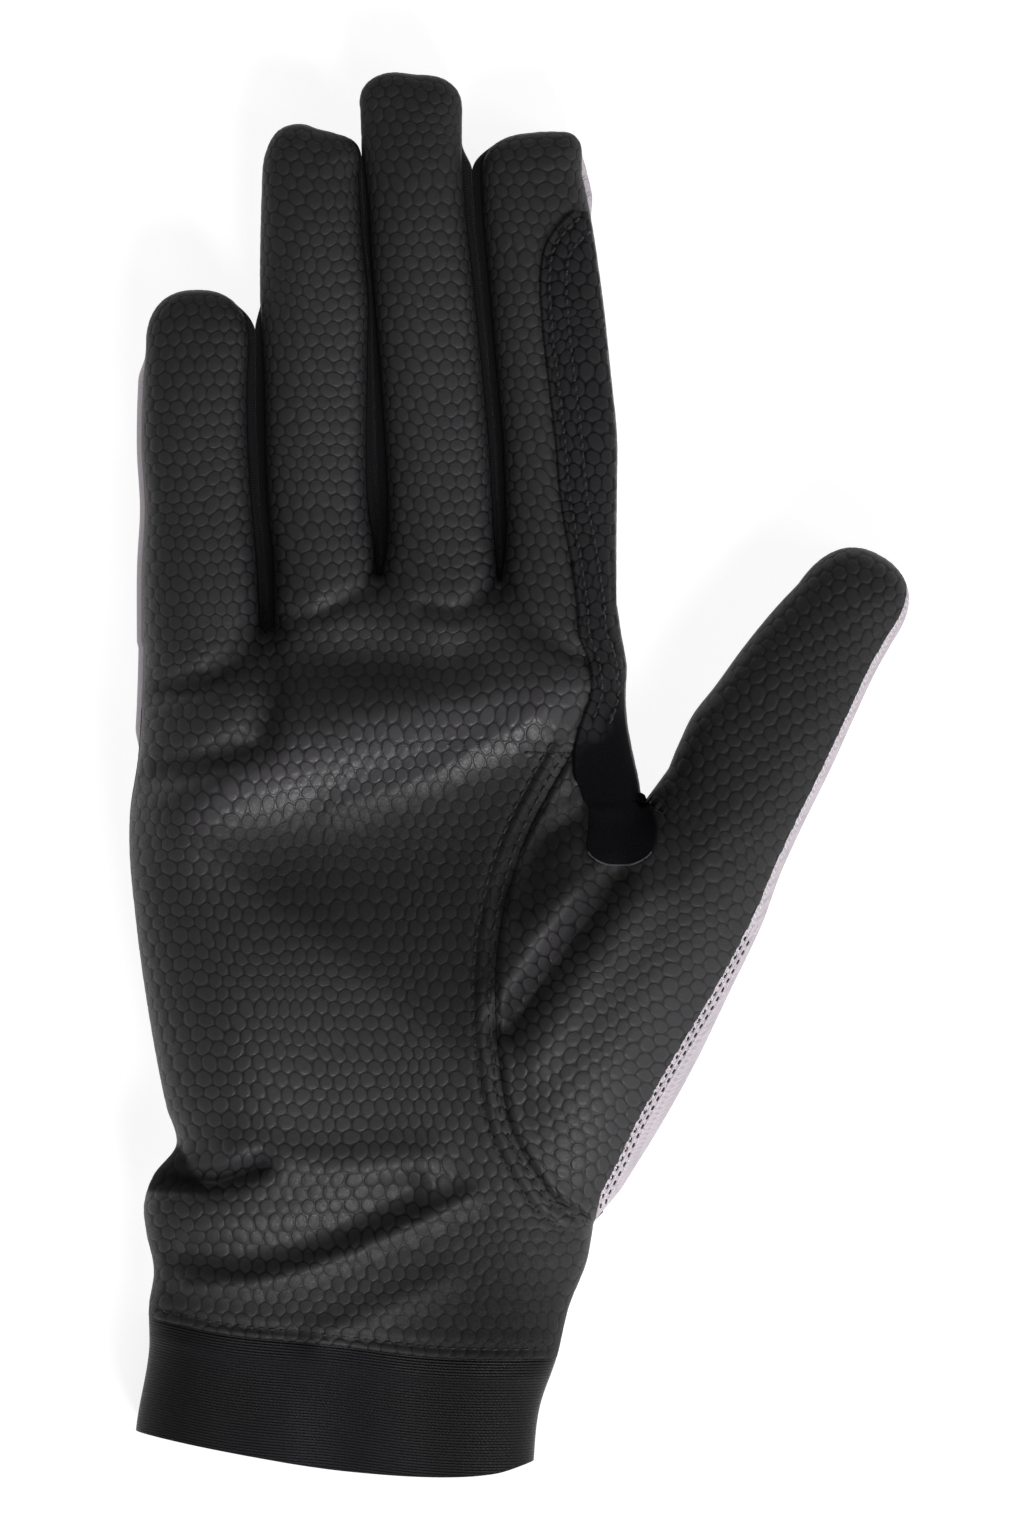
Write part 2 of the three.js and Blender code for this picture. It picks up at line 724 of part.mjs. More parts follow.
// Crown height and rounding reach at a place, blended from the hand's into the thumb's
function formAt(x, y, column) {
  const hand = readTable(handForm, column, y / palmLength);
  const offset = plan(x, y).sub(thumbOrigin);
  const along = offset.dot(thumbAxis) / thumbLength;
  const across = offset.dot(thumbSide) / thumbWidth;
  const share = THREE.MathUtils.smoothstep(along, -0.2, 0.25)
    * THREE.MathUtils.smoothstep(across, -1.3, -0.6);
  return THREE.MathUtils.lerp(hand, readTable(thumbForm, column, along), share);
}

function frontHeight(x, y) {
  const distance = edgeDistance(x, y);
  const inward = Math.min(1, distance / formAt(x, y, 'round'));
  const dome = (1 - (1 - inward) ** crownPower) ** (1 / crownPower);
  const crown = formAt(x, y, 'rise') + padHeight(x, y) + foldHeight(x, y);
  return sideTop + crown * dome;
}

function backHeight(x, y) {
  const inward = Math.min(backRise, edgeDistance(x, y));
  return backRise - Math.sqrt(backRise ** 2 - (backRise - inward) ** 2);
}

// Surface point with its outward normal, on the front (up) or on the back (down)
const probe = 0.05;

function surfacePoint(point, height, side) {
  const edge = outlineNormals.get(planKey(point));
  const z = height(point.x, point.y);
  if (edge) {
    return { at: new THREE.Vector3(point.x, point.y, z), normal: new THREE.Vector3(edge.x, edge.y, 0) };
  }
  const slopeX = (height(point.x + probe, point.y) - height(point.x - probe, point.y)) / (2 * probe);
  const slopeY = (height(point.x, point.y + probe) - height(point.x, point.y - probe)) / (2 * probe);
  const normal = new THREE.Vector3(-slopeX, -slopeY, 1).normalize().multiplyScalar(side);
  return { at: new THREE.Vector3(point.x, point.y, z), normal };
}

function frontPoint(point) {
  return surfacePoint(point, frontHeight, 1);
}

function backPoint(point) {
  return surfacePoint(point, backHeight, -1);
}

function wallPoint(point, z) {
  const edge = outlineNormals.get(planKey(point));
  return { at: new THREE.Vector3(point.x, point.y, z), normal: new THREE.Vector3(edge.x, edge.y, 0) };
}

// A sheet is a list of triangles of surface points. Rows run along, columns to the right,
// so that a front grid faces up and a reversed one faces down
function addGrid(sheet, grid, flipped) {
  for (let i = 1; i < grid.length; i += 1) {
    for (let j = 1; j < grid[i].length; j += 1) {
      const a = grid[i - 1][j - 1];
      const b = grid[i - 1][j];
      const c = grid[i][j];
      const d = grid[i][j - 1];
      const shorter = a.at.distanceTo(c.at) < b.at.distanceTo(d.at);
      const pair = shorter ? [[a, b, c], [a, c, d]] : [[a, b, d], [b, c, d]];
      for (const [p, q, r] of pair) {
        sheet.push(flipped ? [p, r, q] : [p, q, r]);
      }
    }
  }
}

// Side wall along a stretch of the outline, which runs with the glove on its right
function addWall(sheet, stretch, low, high, lowTrim, highTrim) {
  const rows = [low, high].map((z, level) => stretch.map((point, index) => {
    const trim = level === 0 ? lowTrim : highTrim;
    const made = wallPoint(point, z);
    if (index === 0 && trim[0] > 0) {
      const moved = towards(point, stretch[1], trim[0]);
      made.at.set(moved.x, moved.y, z);
    }
    if (index === stretch.length - 1 && trim[1] > 0) {
      const moved = towards(point, stretch[index - 1], trim[1]);
      made.at.set(moved.x, moved.y, z);
    }
    return made;
  }));
  addGrid(sheet, rows, true);
}

const noTrim = [0, 0];

// Closed body of a sheet: the outer skin, the inner skin one wall further in, and the rims
function thicken(sheet, wall) {
  const points = [];
  const normals = [];
  const found = new Map();
  const indexOf = (vertex) => {
    const key = vertex.at.toArray().map((value) => value.toFixed(3)).join();
    if (!found.has(key)) {
      found.set(key, points.length);
      points.push(vertex.at.clone());
      normals.push(vertex.normal.clone());
    }
    return found.get(key);
  };
  const faces = sheet.map((corners) => corners.map(indexOf))
    .filter(([a, b, c]) => a !== b && b !== c && c !== a);
  const directed = new Set(faces.flatMap(([a, b, c]) => [`${a},${b}`, `${b},${c}`, `${c},${a}`]));
  const count = points.length;
  const positions = [
    ...points.flatMap((point) => point.toArray()),
    ...points.flatMap((point, i) => point.clone().addScaledVector(normals[i], -wall).toArray()),
  ];
  const index = [];
  for (const [a, b, c] of faces) {
    index.push(a, b, c, a + count, c + count, b + count);
    for (const [from, to] of [[a, b], [b, c], [c, a]]) {
      if (!directed.has(`${to},${from}`)) {
        index.push(to, from, from + count, to, from + count, to + count);
      }
    }
  }
  const geometry = new THREE.BufferGeometry();
  geometry.setAttribute('position', new THREE.Float32BufferAttribute(positions, 3));
  geometry.setIndex(index);
  return geometry;
}

const onFront = (grid) => grid.map((row) => row.map(frontPoint));
const onBack = (grid) => grid.map((row) => row.map(backPoint));

function palmPanel() {
  const sheet = [];
  addGrid(sheet, onFront(front.palm), false);
  front.fingers.forEach((grid) => addGrid(sheet, onFront(grid), false));
  const low = backRise + seamGap;
  addWall(sheet, sideStretches.palmLeft, low, sideTop, [0, seamGap], noTrim);
  addWall(sheet, sideStretches.palmRight, low, sideTop, [seamGap, 0], noTrim);
  return thicken(sheet, leatherWall);
}

function backPanel() {
  const sheet = [];
  addGrid(sheet, onBack(back.palm), true);
  back.fingers.forEach((grid) => addGrid(sheet, onBack(grid), true));
  const high = sideTop - seamGap;
  addWall(sheet, sideStretches.outerEdge, backRise, high, noTrim, [seamGap, 0]);
  addWall(sheet, sideStretches.indexEdge, backRise, high, noTrim, noTrim);
  return thicken(sheet, fabricWall);
}

function fourchette(index) {
  const sheet = [];
  const ends = [seamGap, seamGap];
  addWall(sheet, sideStretches[`gap${index}`], backRise + seamGap, sideTop - seamGap, ends, ends);
  return thicken(sheet, fabricWall);
}

function thumbPanel() {
  const sheet = [];
  addGrid(sheet, onFront(thumbFront), false);
  return thicken(sheet, leatherWall);
}

function thumbBackPanel() {
  const sheet = [];
  addGrid(sheet, onBack(thumbBack), true);
  addGrid(sheet, onFront(thumbStrip), false);
  addWall(sheet, sideStretches.thumbFree, backRise, sideTop - seamGap, noTrim, noTrim);
  addWall(sheet, sideStretches.thumbEdge, backRise, sideTop, noTrim, noTrim);
  return thicken(sheet, fabricWall);
}

// Reinforcement laid over the index finger, its root and the crotch of the thumb
function patchRowList() {
  const frame = digitFrame(digits.length - 1);
  const inset = plan(-patchInset, 0);
  const onIndex = patchOnIndex.map((row) => ({
    left: digitPoint(frame, row.along, row.edge, 0),
    right: digitPoint(frame, row.along, 1, 0).add(inset),
    lift: patchLift,
  }));
  const onPalm = patchOnPalm.map((row) => ({
    left: plan(row.left * palmWidth, row.along * palmLength),
    right: rightPoint(indexSide, row.along).add(inset),
    lift: row.lift,
  }));
  const onTab = patchTab.map((row) => ({
    left: plan(row.left * palmWidth, row.along * palmLength),
    right: plan(row.right * palmWidth, row.along * palmLength),
    lift: row.lift,
  }));
  return [...onIndex, ...onPalm, ...onTab];
}

// The patch stands off along the surface below, and straight up where it spans the crotch
const up = new THREE.Vector3(0, 0, 1);

function indexReinforcement() {
  const lifted = patchRowList().map((row) => patchShares.map((share) => {
    const under = frontPoint(between(row.left, row.right, share));
    const upright = THREE.MathUtils.smoothstep(row.lift, patchLift, patchLift + patchWall);
    under.normal.lerp(up, upright).normalize();
    under.at.addScaledVector(under.normal, row.lift + patchWall);
    return under;
  }));
  const sheet = [];
  addGrid(sheet, lifted, true);
  return thicken(sheet, patchWall);
}

function cuffBand() {
  const sheet = [];
  addGrid(sheet, onFront(cuff), true);
  addGrid(sheet, onBack(cuff), false);
  addWall(sheet, columnOf(cuff, 0).reverse(), backRise, sideTop, noTrim, noTrim);
  addWall(sheet, columnOf(cuff, -1), backRise, sideTop, noTrim, noTrim);
  return thicken(sheet, cuffWall);
}

function mesh(name, geometry, color, roughness) {
  geometry.computeVertexNormals();
  const material = new THREE.MeshStandardMaterial({ color, roughness, metalness: 0 });
  const made = new THREE.Mesh(geometry, material);
  made.name = name;
  return made;
}

const glove = new THREE.Group();
glove.add(mesh('palm_panel', palmPanel(), '#343236', 0.62));
glove.add(mesh('thumb_panel', thumbPanel(), '#343236', 0.62));
glove.add(mesh('back_panel', backPanel(), '#c4bec4', 0.9));
glove.add(mesh('thumb_back', thumbBackPanel(), '#c4bec4', 0.9));
glove.add(mesh('index_reinforcement', indexReinforcement(), '#2e2b30', 0.62));
glove.add(mesh('cuff_band', cuffBand(), '#29262d', 0.8));
digits.slice(1).forEach((digit, index) => {
  const name = `fourchette_${digits[index].name}_${digit.name}`;
  glove.add(mesh(name, fourchette(index + 1), '#1c1a1e', 0.85));
});

// The origin is the middle of the footprint, on the surface that the glove lies on
const extent = new THREE.Box3().setFromObject(glove);
const middle = extent.getCenter(new THREE.Vector3());
for (const piece of glove.children) {
  piece.position.set(-middle.x, -middle.y, -extent.min.z);
}

export default glove;
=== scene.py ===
"""Dressed riding glove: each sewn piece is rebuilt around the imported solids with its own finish."""

import math

import bpy
import numpy as np
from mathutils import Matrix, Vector, kdtree


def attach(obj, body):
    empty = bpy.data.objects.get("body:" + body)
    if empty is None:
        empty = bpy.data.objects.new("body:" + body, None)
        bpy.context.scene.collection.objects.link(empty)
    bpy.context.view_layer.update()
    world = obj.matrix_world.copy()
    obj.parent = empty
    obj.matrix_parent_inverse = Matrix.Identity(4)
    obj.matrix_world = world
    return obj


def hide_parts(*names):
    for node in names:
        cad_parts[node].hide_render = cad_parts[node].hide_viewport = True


bl_info = {
    "name": "Riding glove",
    "version": (1, 0, 0),
    "blender": (4, 5, 0),
    "location": "View3D > Sidebar > Glove",
    "description": "Builds the sewn pieces of a riding glove around its packed solids",
    "category": "Object",
}

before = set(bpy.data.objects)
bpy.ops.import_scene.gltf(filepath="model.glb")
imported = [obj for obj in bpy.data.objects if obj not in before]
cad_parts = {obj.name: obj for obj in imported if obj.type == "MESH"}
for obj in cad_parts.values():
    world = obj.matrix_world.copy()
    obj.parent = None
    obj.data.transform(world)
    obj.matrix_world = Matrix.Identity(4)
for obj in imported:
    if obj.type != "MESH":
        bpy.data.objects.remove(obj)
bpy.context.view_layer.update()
MM = 0.001
BODY = "root"

# Section tables of the glove: along as shares of a piece's length, the rest as shares of its width

LEFT_SIDE = {
    "along": (-0.19, -0.12, -0.02, 0.04, 0.09, 0.14, 0.18, 0.22, 0.26, 0.315, 0.4, 0.56,
              0.7, 0.8, 0.95, 1.02),
    "left": (-0.515, -0.505, -0.48, -0.48, -0.47, -0.485, -0.49, -0.47, -0.425, -0.445, -0.47, -0.505,
             -0.52, -0.5, -0.49, -0.49),
}
WRIST_SIDE = {
    "along": (-0.2, -0.1, -0.03, 0.04, 0.1, 0.155),
    "right": (0.3, 0.315, 0.35, 0.375, 0.41, 0.425),
}
THUMB_SEAM = {
    "along": (0.155, 0.17, 0.185, 0.235, 0.295, 0.37, 0.45, 0.535, 0.61, 0.69, 0.755, 0.8),
    "right": (0.425, 0.4, 0.36, 0.3, 0.255, 0.235, 0.225, 0.23, 0.25, 0.29, 0.34, 0.38),
}
INDEX_SIDE = {
    "along": (0.73, 0.765, 0.805, 0.845, 0.88, 0.92, 0.96, 1.0),
    "right": (0.524, 0.516, 0.503, 0.493, 0.49, 0.492, 0.482, 0.473),
}
CUFF_SEAM_BEND = {
    "along": (0, 0.2, 0.45, 0.7, 1),
    "rise": (0.026, 0.004, -0.01, -0.027, -0.031),
}
HEM_DEPTH = {
    "along": (0, 0.3, 0.55, 0.9, 1),
    "depth": (0.76, 0.95, 1.07, 1.09, 1.0),
}
CROTCH_RISE = (-0.055, -0.034, 0.044, 0.038, 0)
DIGITS = (
    {
        "name": "pinky", "length": 53.2, "width": 17.4, "root": 1.154, "tip": 9.6,
        "turn": (0, 180), "reach": (1, 1),
        "along": (0, 0.13, 0.31, 0.5, 0.69, 0.85, 1),
        "left": (-0.6, -0.6, -0.57, -0.6, -0.59, -0.56, -0.54),
        "right": (0.54, 0.51, 0.46, 0.42, 0.41, 0.43, 0.42),
    },
    {
        "name": "ring", "length": 81.0, "width": 16.9, "root": 1.128, "tip": 8.4,
        "turn": (0, 32, 57, 80, 98, 125, 151, 180), "reach": (1, 1.07, 0.92, 0.91, 1, 1.04, 0.99, 1),
        "along": (0, 0.1, 0.21, 0.5, 0.64, 0.785, 1),
        "left": (-0.49, -0.49, -0.545, -0.585, -0.62, -0.615, -0.58),
        "right": (0.54, 0.52, 0.45, 0.445, 0.455, 0.385, 0.34),
    },
    {
        "name": "middle", "length": 89.7, "width": 17.7, "root": 1.116, "tip": 6.2,
        "turn": (0, 36, 57, 86, 113, 130, 150, 180), "reach": (1, 0.99, 0.975, 0.94, 1.04, 1.06, 1.05, 1),
        "along": (0, 0.13, 0.26, 0.37, 0.5, 0.63, 0.75, 0.86, 1),
        "left": (-0.56, -0.495, -0.505, -0.54, -0.59, -0.645, -0.675, -0.735, -0.765),
        "right": (0.56, 0.515, 0.485, 0.44, 0.375, 0.305, 0.24, 0.21, 0.22),
    },
    {
        "name": "index", "length": 79.7, "width": 18.4, "root": 1.063, "tip": 7.0,
        "turn": (0, 20, 38, 50, 65, 82, 117, 144, 180),
        "reach": (1, 1.04, 1.16, 1.18, 1.07, 1, 0.95, 0.965, 1),
        "along": (0, 0.15, 0.25, 0.36, 0.5, 0.65, 0.84, 1),
        "left": (-0.53, -0.48, -0.49, -0.51, -0.565, -0.62, -0.69, -0.71),
        "right": (0.53, 0.53, 0.535, 0.535, 0.475, 0.405, 0.28, 0.12),
    },
)
THUMB_ROOT = {"along": 0.677, "across": 0.653}
THUMB_INNER = {
    "along": (0.02, 0.07, 0.2, 0.3, 0.41, 0.55, 0.7, 0.8),
    "inner": (-0.48, -0.46, -0.5, -0.525, -0.5, -0.478, -0.435, -0.39),
}
THUMB_OUTER = {
    "along": (-1, -0.9, -0.8, -0.69, -0.5, -0.3, -0.1, 0.02, 0.14, 0.4, 0.55, 0.7, 0.8),
    "border": (0.56, 0.585, 0.59, 0.565, 0.56, 0.562, 0.525, 0.48, 0.445, 0.385, 0.345, 0.305, 0.295),
    "outer": (0.735, 0.75, 0.752, 0.75, 0.725, 0.668, 0.61, 0.545, 0.506, 0.445, 0.4, 0.36, 0.35),
}
HAND_FORM = {
    "along": (-0.2, 0, 0.12, 0.3, 0.6, 0.85, 1, 1.14, 1.3, 1.75),
    "rise": (7.5, 8, 9.5, 12, 12.5, 12, 9.5, 6.8, 5.8, 5.2),
    "round": (13, 14, 16, 20, 20, 17, 11, 9, 8.6, 8.2),
}
THUMB_FORM = {
    "along": (-0.3, 0, 0.3, 0.6, 1),
    "rise": (13, 12, 9.5, 7.8, 6.5),
    "round": (16, 14, 12, 10.5, 9.5),
}
CROWN_POWER = 2.2
PADS = (
    {"name": "thenar", "across": 0.4, "along": 0.42, "wide": 0.2, "high": 0.2, "height": 5},
    {"name": "heel", "across": -0.28, "along": 0.42, "wide": 0.16, "high": 0.2, "height": 2.4},
    {"name": "palm hollow", "across": 0.02, "along": 0.55, "wide": 0.14, "high": 0.16, "height": -1.6},
    {"name": "deep palm", "across": -0.1, "along": 0.64, "wide": 0.24, "high": 0.1, "height": -1.6},
    {"name": "index pad", "across": 0.12, "along": 0.965, "wide": 0.08, "high": 0.05, "height": 1.8},
    {"name": "pinky pad", "across": -0.3, "along": 0.87, "wide": 0.09, "high": 0.05, "height": 1.6},
)
FOLDS = (
    {"name": "pinch", "width": 0.024, "height": -4.2,
     "path": ((-0.54, 0.226), (-0.44, 0.215), (-0.34, 0.212), (-0.25, 0.238))},
    {"name": "pinch lip", "width": 0.042, "height": 1.7,
     "path": ((-0.3, 0.25), (-0.11, 0.237), (0.08, 0.245))},
    {"name": "wrist hollow", "width": 0.04, "height": -2.1,
     "path": ((-0.4, 0.115), (-0.28, 0.115), (-0.173, 0.13), (-0.069, 0.158), (0.05, 0.2))},
    {"name": "wrist ridge", "width": 0.022, "height": 1.7,
     "path": ((-0.4, 0.0745), (-0.28, 0.0745), (-0.173, 0.091), (-0.069, 0.117), (0.086, 0.164),
              (0.17, 0.192))},
    {"name": "low wrist ridge", "width": 0.032, "height": 1.0,
     "path": ((-0.13, 0.003), (0.0, 0.04), (0.12, 0.08))},
    {"name": "palm ridge", "width": 0.1, "height": 2.8,
     "path": ((-0.42, 0.71), (-0.252, 0.775), (-0.053, 0.838), (0.2, 0.872), (0.41, 0.897))},
    {"name": "low ridge", "width": 0.03, "height": 0.9, "path": ((-0.1, 0.72), (0.11, 0.775), (0.3, 0.85))},
    {"name": "palm valley", "width": 0.12, "height": -1.5, "path": ((-0.2, 0.66), (0.1, 0.69), (0.26, 0.74))},
    {"name": "knuckle hollow", "width": 0.06, "height": -2.2,
     "path": ((-0.16, 0.93), (0.03, 0.925), (0.14, 0.93))},
    {"name": "pinky crease", "width": 0.03, "height": -3.0,
     "path": ((-0.249, 0.963), (-0.3, 0.925), (-0.352, 0.902), (-0.48, 0.88))},
    {"name": "gap crease", "width": 0.034, "height": -3.2,
     "path": ((-0.239, 0.957), (-0.224, 0.877), (-0.248, 0.815), (-0.375, 0.785), (-0.49, 0.767))},
    {"name": "ring crease", "width": 0.022, "height": -1.5,
     "path": ((-0.222, 0.981), (-0.13, 0.992), (-0.028, 1.025))},
    {"name": "middle crease", "width": 0.022, "height": -1.6,
     "path": ((0.084, 1.0), (0.145, 0.993), (0.233, 1.025))},
    {"name": "index crease", "width": 0.028, "height": -2.1,
     "path": ((0.23, 1.02), (0.28, 0.972), (0.345, 0.946), (0.41, 0.925))},
    {"name": "thumb crease", "width": 0.03, "height": -3.0,
     "path": ((0.47, 0.63), (0.395, 0.56), (0.33, 0.5), (0.25, 0.425))},
    {"name": "thumb lip", "width": 0.035, "height": 2.5,
     "path": ((0.237, 0.471), (0.298, 0.547), (0.38, 0.612))},
    {"name": "thumb swell", "width": 0.04, "height": 1.2,
     "path": ((0.3, 0.385), (0.41, 0.495), (0.53, 0.61))},
    {"name": "thumb hollow", "width": 0.042, "height": -2.8,
     "path": ((0.377, 0.718), (0.3, 0.671), (0.267, 0.606))},
    {"name": "tab fold", "width": 0.018, "height": 0.9,
     "path": ((0.396, 0.733), (0.318, 0.705), (0.267, 0.657))},
)
# Painted light and shade over soft-edged areas: the fold of the palm and the pinch are drawn darker as
# painted shadow, and the crown of the palm is drawn lighter as painted light
SHADES = (
    {"name": "fold of the palm", "soft": 2.4, "amount": -0.42,
     "corners": ((-0.395, 0.685), (0.176, 0.382), (0.23, 0.5), (0.359, 0.8))},
    {"name": "crown of the palm", "soft": 3.0, "amount": 0.34,
     "corners": ((-0.42, 0.7), (-0.11, 0.684), (0.298, 0.795), (0.42, 0.902), (0.2, 0.886), (-0.053, 0.856),
                 (-0.26, 0.8))},
    {"name": "pinch", "soft": 0.7, "amount": -1.8, "corners": ((-0.42, 0.262), (-0.53, 0.2), (-0.36, 0.198))},
)
# Painted light and shade in soft round spots: most are drawn darker as painted shade, and the palm ridge, the
# thumb ridge and the left of the wrist are drawn lighter as painted light
PAINTED_LIGHT_AND_SHADE = (
    {"name": "palm centre", "across": -0.11, "along": 0.6, "wide": 0.22, "high": 0.13, "amount": -0.4},
    {"name": "palm ridge", "across": -0.22, "along": 0.765, "wide": 0.2, "high": 0.05, "amount": 0.1},
    {"name": "above the ridge", "across": -0.17, "along": 0.88, "wide": 0.24, "high": 0.06, "amount": -0.25},
    {"name": "thumb", "across": 0.88, "along": 0.95, "wide": 0.3, "high": 0.3, "amount": -0.52},
    {"name": "thumb root", "across": 0.6, "along": 0.7, "wide": 0.18, "high": 0.16, "amount": -0.42},
    {"name": "thumb seam", "across": 0.32, "along": 0.665, "wide": 0.08, "high": 0.08, "amount": -0.7},
    {"name": "thumb ridge", "across": 0.34, "along": 0.54, "wide": 0.07, "high": 0.07, "amount": 0.3},
    {"name": "under the middle finger", "across": 0.0, "along": 0.91, "wide": 0.15, "high": 0.035,
     "amount": -0.35},
    {"name": "inner palm", "across": 0.2, "along": 0.5, "wide": 0.07, "high": 0.22, "amount": -0.3},
    {"name": "wrist", "across": 0.1, "along": 0.06, "wide": 0.3, "high": 0.08, "amount": -0.25},
    {"name": "wrist left", "across": -0.25, "along": 0.12, "wide": 0.2, "high": 0.08, "amount": 0.12},
    {"name": "fingertips", "across": 0.0, "along": 1.7, "wide": 0.6, "high": 0.22, "amount": -0.42},
    {"name": "little fingertip", "across": -0.38, "along": 1.42, "wide": 0.12, "high": 0.12, "amount": -0.3},
    {"name": "little finger", "across": -0.38, "along": 1.2, "wide": 0.12, "high": 0.2, "amount": -0.15},
    {"name": "cuff left", "across": -0.4, "along": -0.09, "wide": 0.22, "high": 0.2, "amount": -0.65},
    {"name": "cuff right", "across": 0.24, "along": -0.09, "wide": 0.2, "high": 0.2, "amount": -1.1},
)
PATCH_ON_INDEX = {
    "along": (0.83, 0.8, 0.76, 0.7, 0.6, 0.5, 0.35, 0.2, 0.1),
    "edge": (0.86, 0.7, 0.56, 0.48, 0.45, 0.455, 0.47, 0.52, 0.6),
}
PATCH_ON_PALM = {
    "along": (1, 0.955, 0.93, 0.88, 0.845, 0.81, 0.77, 0.735),
    "left": (0.395, 0.4, 0.415, 0.423, 0.405, 0.39, 0.388, 0.405),
}
PATCH_TAB = {
    "along": (0.722, 0.7, 0.672, 0.654, 0.647),
    "left": (0.413, 0.413, 0.41, 0.425, 0.45),
    "right": (0.54, 0.55, 0.545, 0.525, 0.5),
}

# Lengths in millimetres, counts of columns, and shares

BACK_RISE = 4.3
SEAM_GAP = 0.4
TIP_POWER = 2.4
TIP_DROOP = {"height": 1.7, "reach": 13.0}
FRONT_STEP = 0.5
FRONT_COLUMNS = 42
THUMB_COLUMNS = 84
ROW_BUNCHING = 1.25
UNDER_REACH = 0.97
THUMB_CROTCH = 0.01
THUMB_FREE = 0.03
BACK_FLOOR = 0.12
THUMB_TIP = {"turn": (0, 35, 60, 90, 120, 150, 180), "reach": (1, 1.02, 1, 0.99, 0.97, 0.97, 1)}


class GloveSizes(bpy.types.PropertyGroup):
    """Sizes that a user would change"""

    palm_length: bpy.props.FloatProperty(
        name="Palm length", description="Cuff seam to the knuckle line",
        default=0.122, min=0.09, max=0.15, unit="LENGTH")
    palm_to_knuckles: bpy.props.FloatProperty(
        name="Palm to knuckles", description="Width of the palm over that of the knuckle row",
        default=1.05, min=0.9, max=1.2)
    cuff_length: bpy.props.FloatProperty(
        name="Cuff length", description="Seam of the cuff to its hem",
        default=0.021, min=0.01, max=0.04, unit="LENGTH")
    thenar_length: bpy.props.FloatProperty(
        name="Ball of the thumb", description="Root of the thumb to its lower end at the wrist",
        default=0.064, min=0.04, max=0.08, unit="LENGTH")
    thumb_length: bpy.props.FloatProperty(
        name="Thumb length", description="Root of the thumb to its tip",
        default=0.0564, min=0.04, max=0.07, unit="LENGTH")
    thumb_width: bpy.props.FloatProperty(
        name="Thumb width", description="Width that the thumb's section table is a share of",
        default=0.025, min=0.015, max=0.035, unit="LENGTH")
    thumb_tilt: bpy.props.FloatProperty(
        name="Thumb tilt", description="Lean of the thumb away from the fingers",
        default=math.radians(32), unit="ROTATION")
    side_height: bpy.props.FloatProperty(
        name="Side height", description="Height of the straight side walls",
        default=0.0034, min=0.001, max=0.006, unit="LENGTH")
    leather_wall: bpy.props.FloatProperty(
        name="Leather wall", description="Thickness of the embossed leather at its edges",
        default=0.0011, min=0.0004, max=0.002, unit="LENGTH")
    scale_width: bpy.props.FloatProperty(
        name="Scale width", description="Spacing of the embossed scales across a row",
        default=0.00235, min=0.001, max=0.005, unit="LENGTH")
    scale_rise: bpy.props.FloatProperty(
        name="Scale rise", description="Height of an embossed scale over its groove",
        default=0.00017, min=0.0, max=0.0006, unit="LENGTH")
    stitch_length: bpy.props.FloatProperty(
        name="Stitch length", description="Spacing of the stitches in the black seams",
        default=0.0022, min=0.001, max=0.005, unit="LENGTH")


class GloveColours(bpy.types.PropertyGroup):
    """Colours that a user would change"""

    leather: bpy.props.FloatVectorProperty(
        name="Leather", description="Top of the embossed scales", subtype="COLOR",
        size=3, min=0, max=1, default=(0.0225, 0.0208, 0.0226))
    # Painted shade in the grooves between the scales
    groove: bpy.props.FloatVectorProperty(
        name="Groove", description="Grooves between the scales", subtype="COLOR",
        size=3, min=0, max=1, default=(0.0035, 0.0032, 0.005))
    suede: bpy.props.FloatVectorProperty(
        name="Suede", description="Worn smooth end of the reinforcement", subtype="COLOR",
        size=3, min=0, max=1, default=(0.0019, 0.0018, 0.0025))
    fabric: bpy.props.FloatVectorProperty(
        name="Back fabric", description="Pale stretch fabric of the back", subtype="COLOR",
        size=3, min=0, max=1, default=(0.53, 0.48, 0.52))
    side: bpy.props.FloatVectorProperty(
        name="Side fabric", description="Strips between the fingers", subtype="COLOR",
        size=3, min=0, max=1, default=(0.006, 0.0055, 0.007))
    cuff: bpy.props.FloatVectorProperty(
        name="Cuff knit", description="Ribbed knit of the cuff", subtype="COLOR",
        size=3, min=0, max=1, default=(0.0062, 0.0056, 0.0085))
    cut_edge: bpy.props.FloatVectorProperty(
        name="Cut edge", description="Cut edge of the tab", subtype="COLOR",
        size=3, min=0, max=1, default=(0.035, 0.036, 0.045))
    thread: bpy.props.FloatVectorProperty(
        name="Thread", description="Black sewing thread", subtype="COLOR",
        size=3, min=0, max=1, default=(0.008, 0.008, 0.011))


def read_table(table, column, at):
    """Smooth value of one column of a section table, held at its ends"""
    xs = np.asarray(table["along"], float)
    ys = np.asarray(table[column], float)
    if xs[-1] < xs[0]:
        xs = xs[::-1]
        ys = ys[::-1]
    middle = np.diff(ys) / np.diff(xs)
    slopes = np.concatenate(([middle[0]], (middle[:-1] + middle[1:]) / 2, [middle[-1]]))
    at = np.clip(np.asarray(at, float), xs[0], xs[-1])
    index = np.clip(np.searchsorted(xs, at, side="left") - 1, 0, len(xs) - 2)
    span = xs[index + 1] - xs[index]
    t = (at - xs[index]) / span
    t2 = t * t
    t3 = t2 * t
    ends = (2 * t3 - 3 * t2 + 1) * ys[index] + (3 * t2 - 2 * t3) * ys[index + 1]
    return ends + span * ((t3 - 2 * t2 + t) * slopes[index] + (t3 - t2) * slopes[index + 1])


def smoothstep(value, low, high):
    t = np.clip((np.asarray(value, float) - low) / (high - low), 0, 1)
    return t * t * (3 - 2 * t)


def mix(a, b, share):
    return a + (b - a) * share


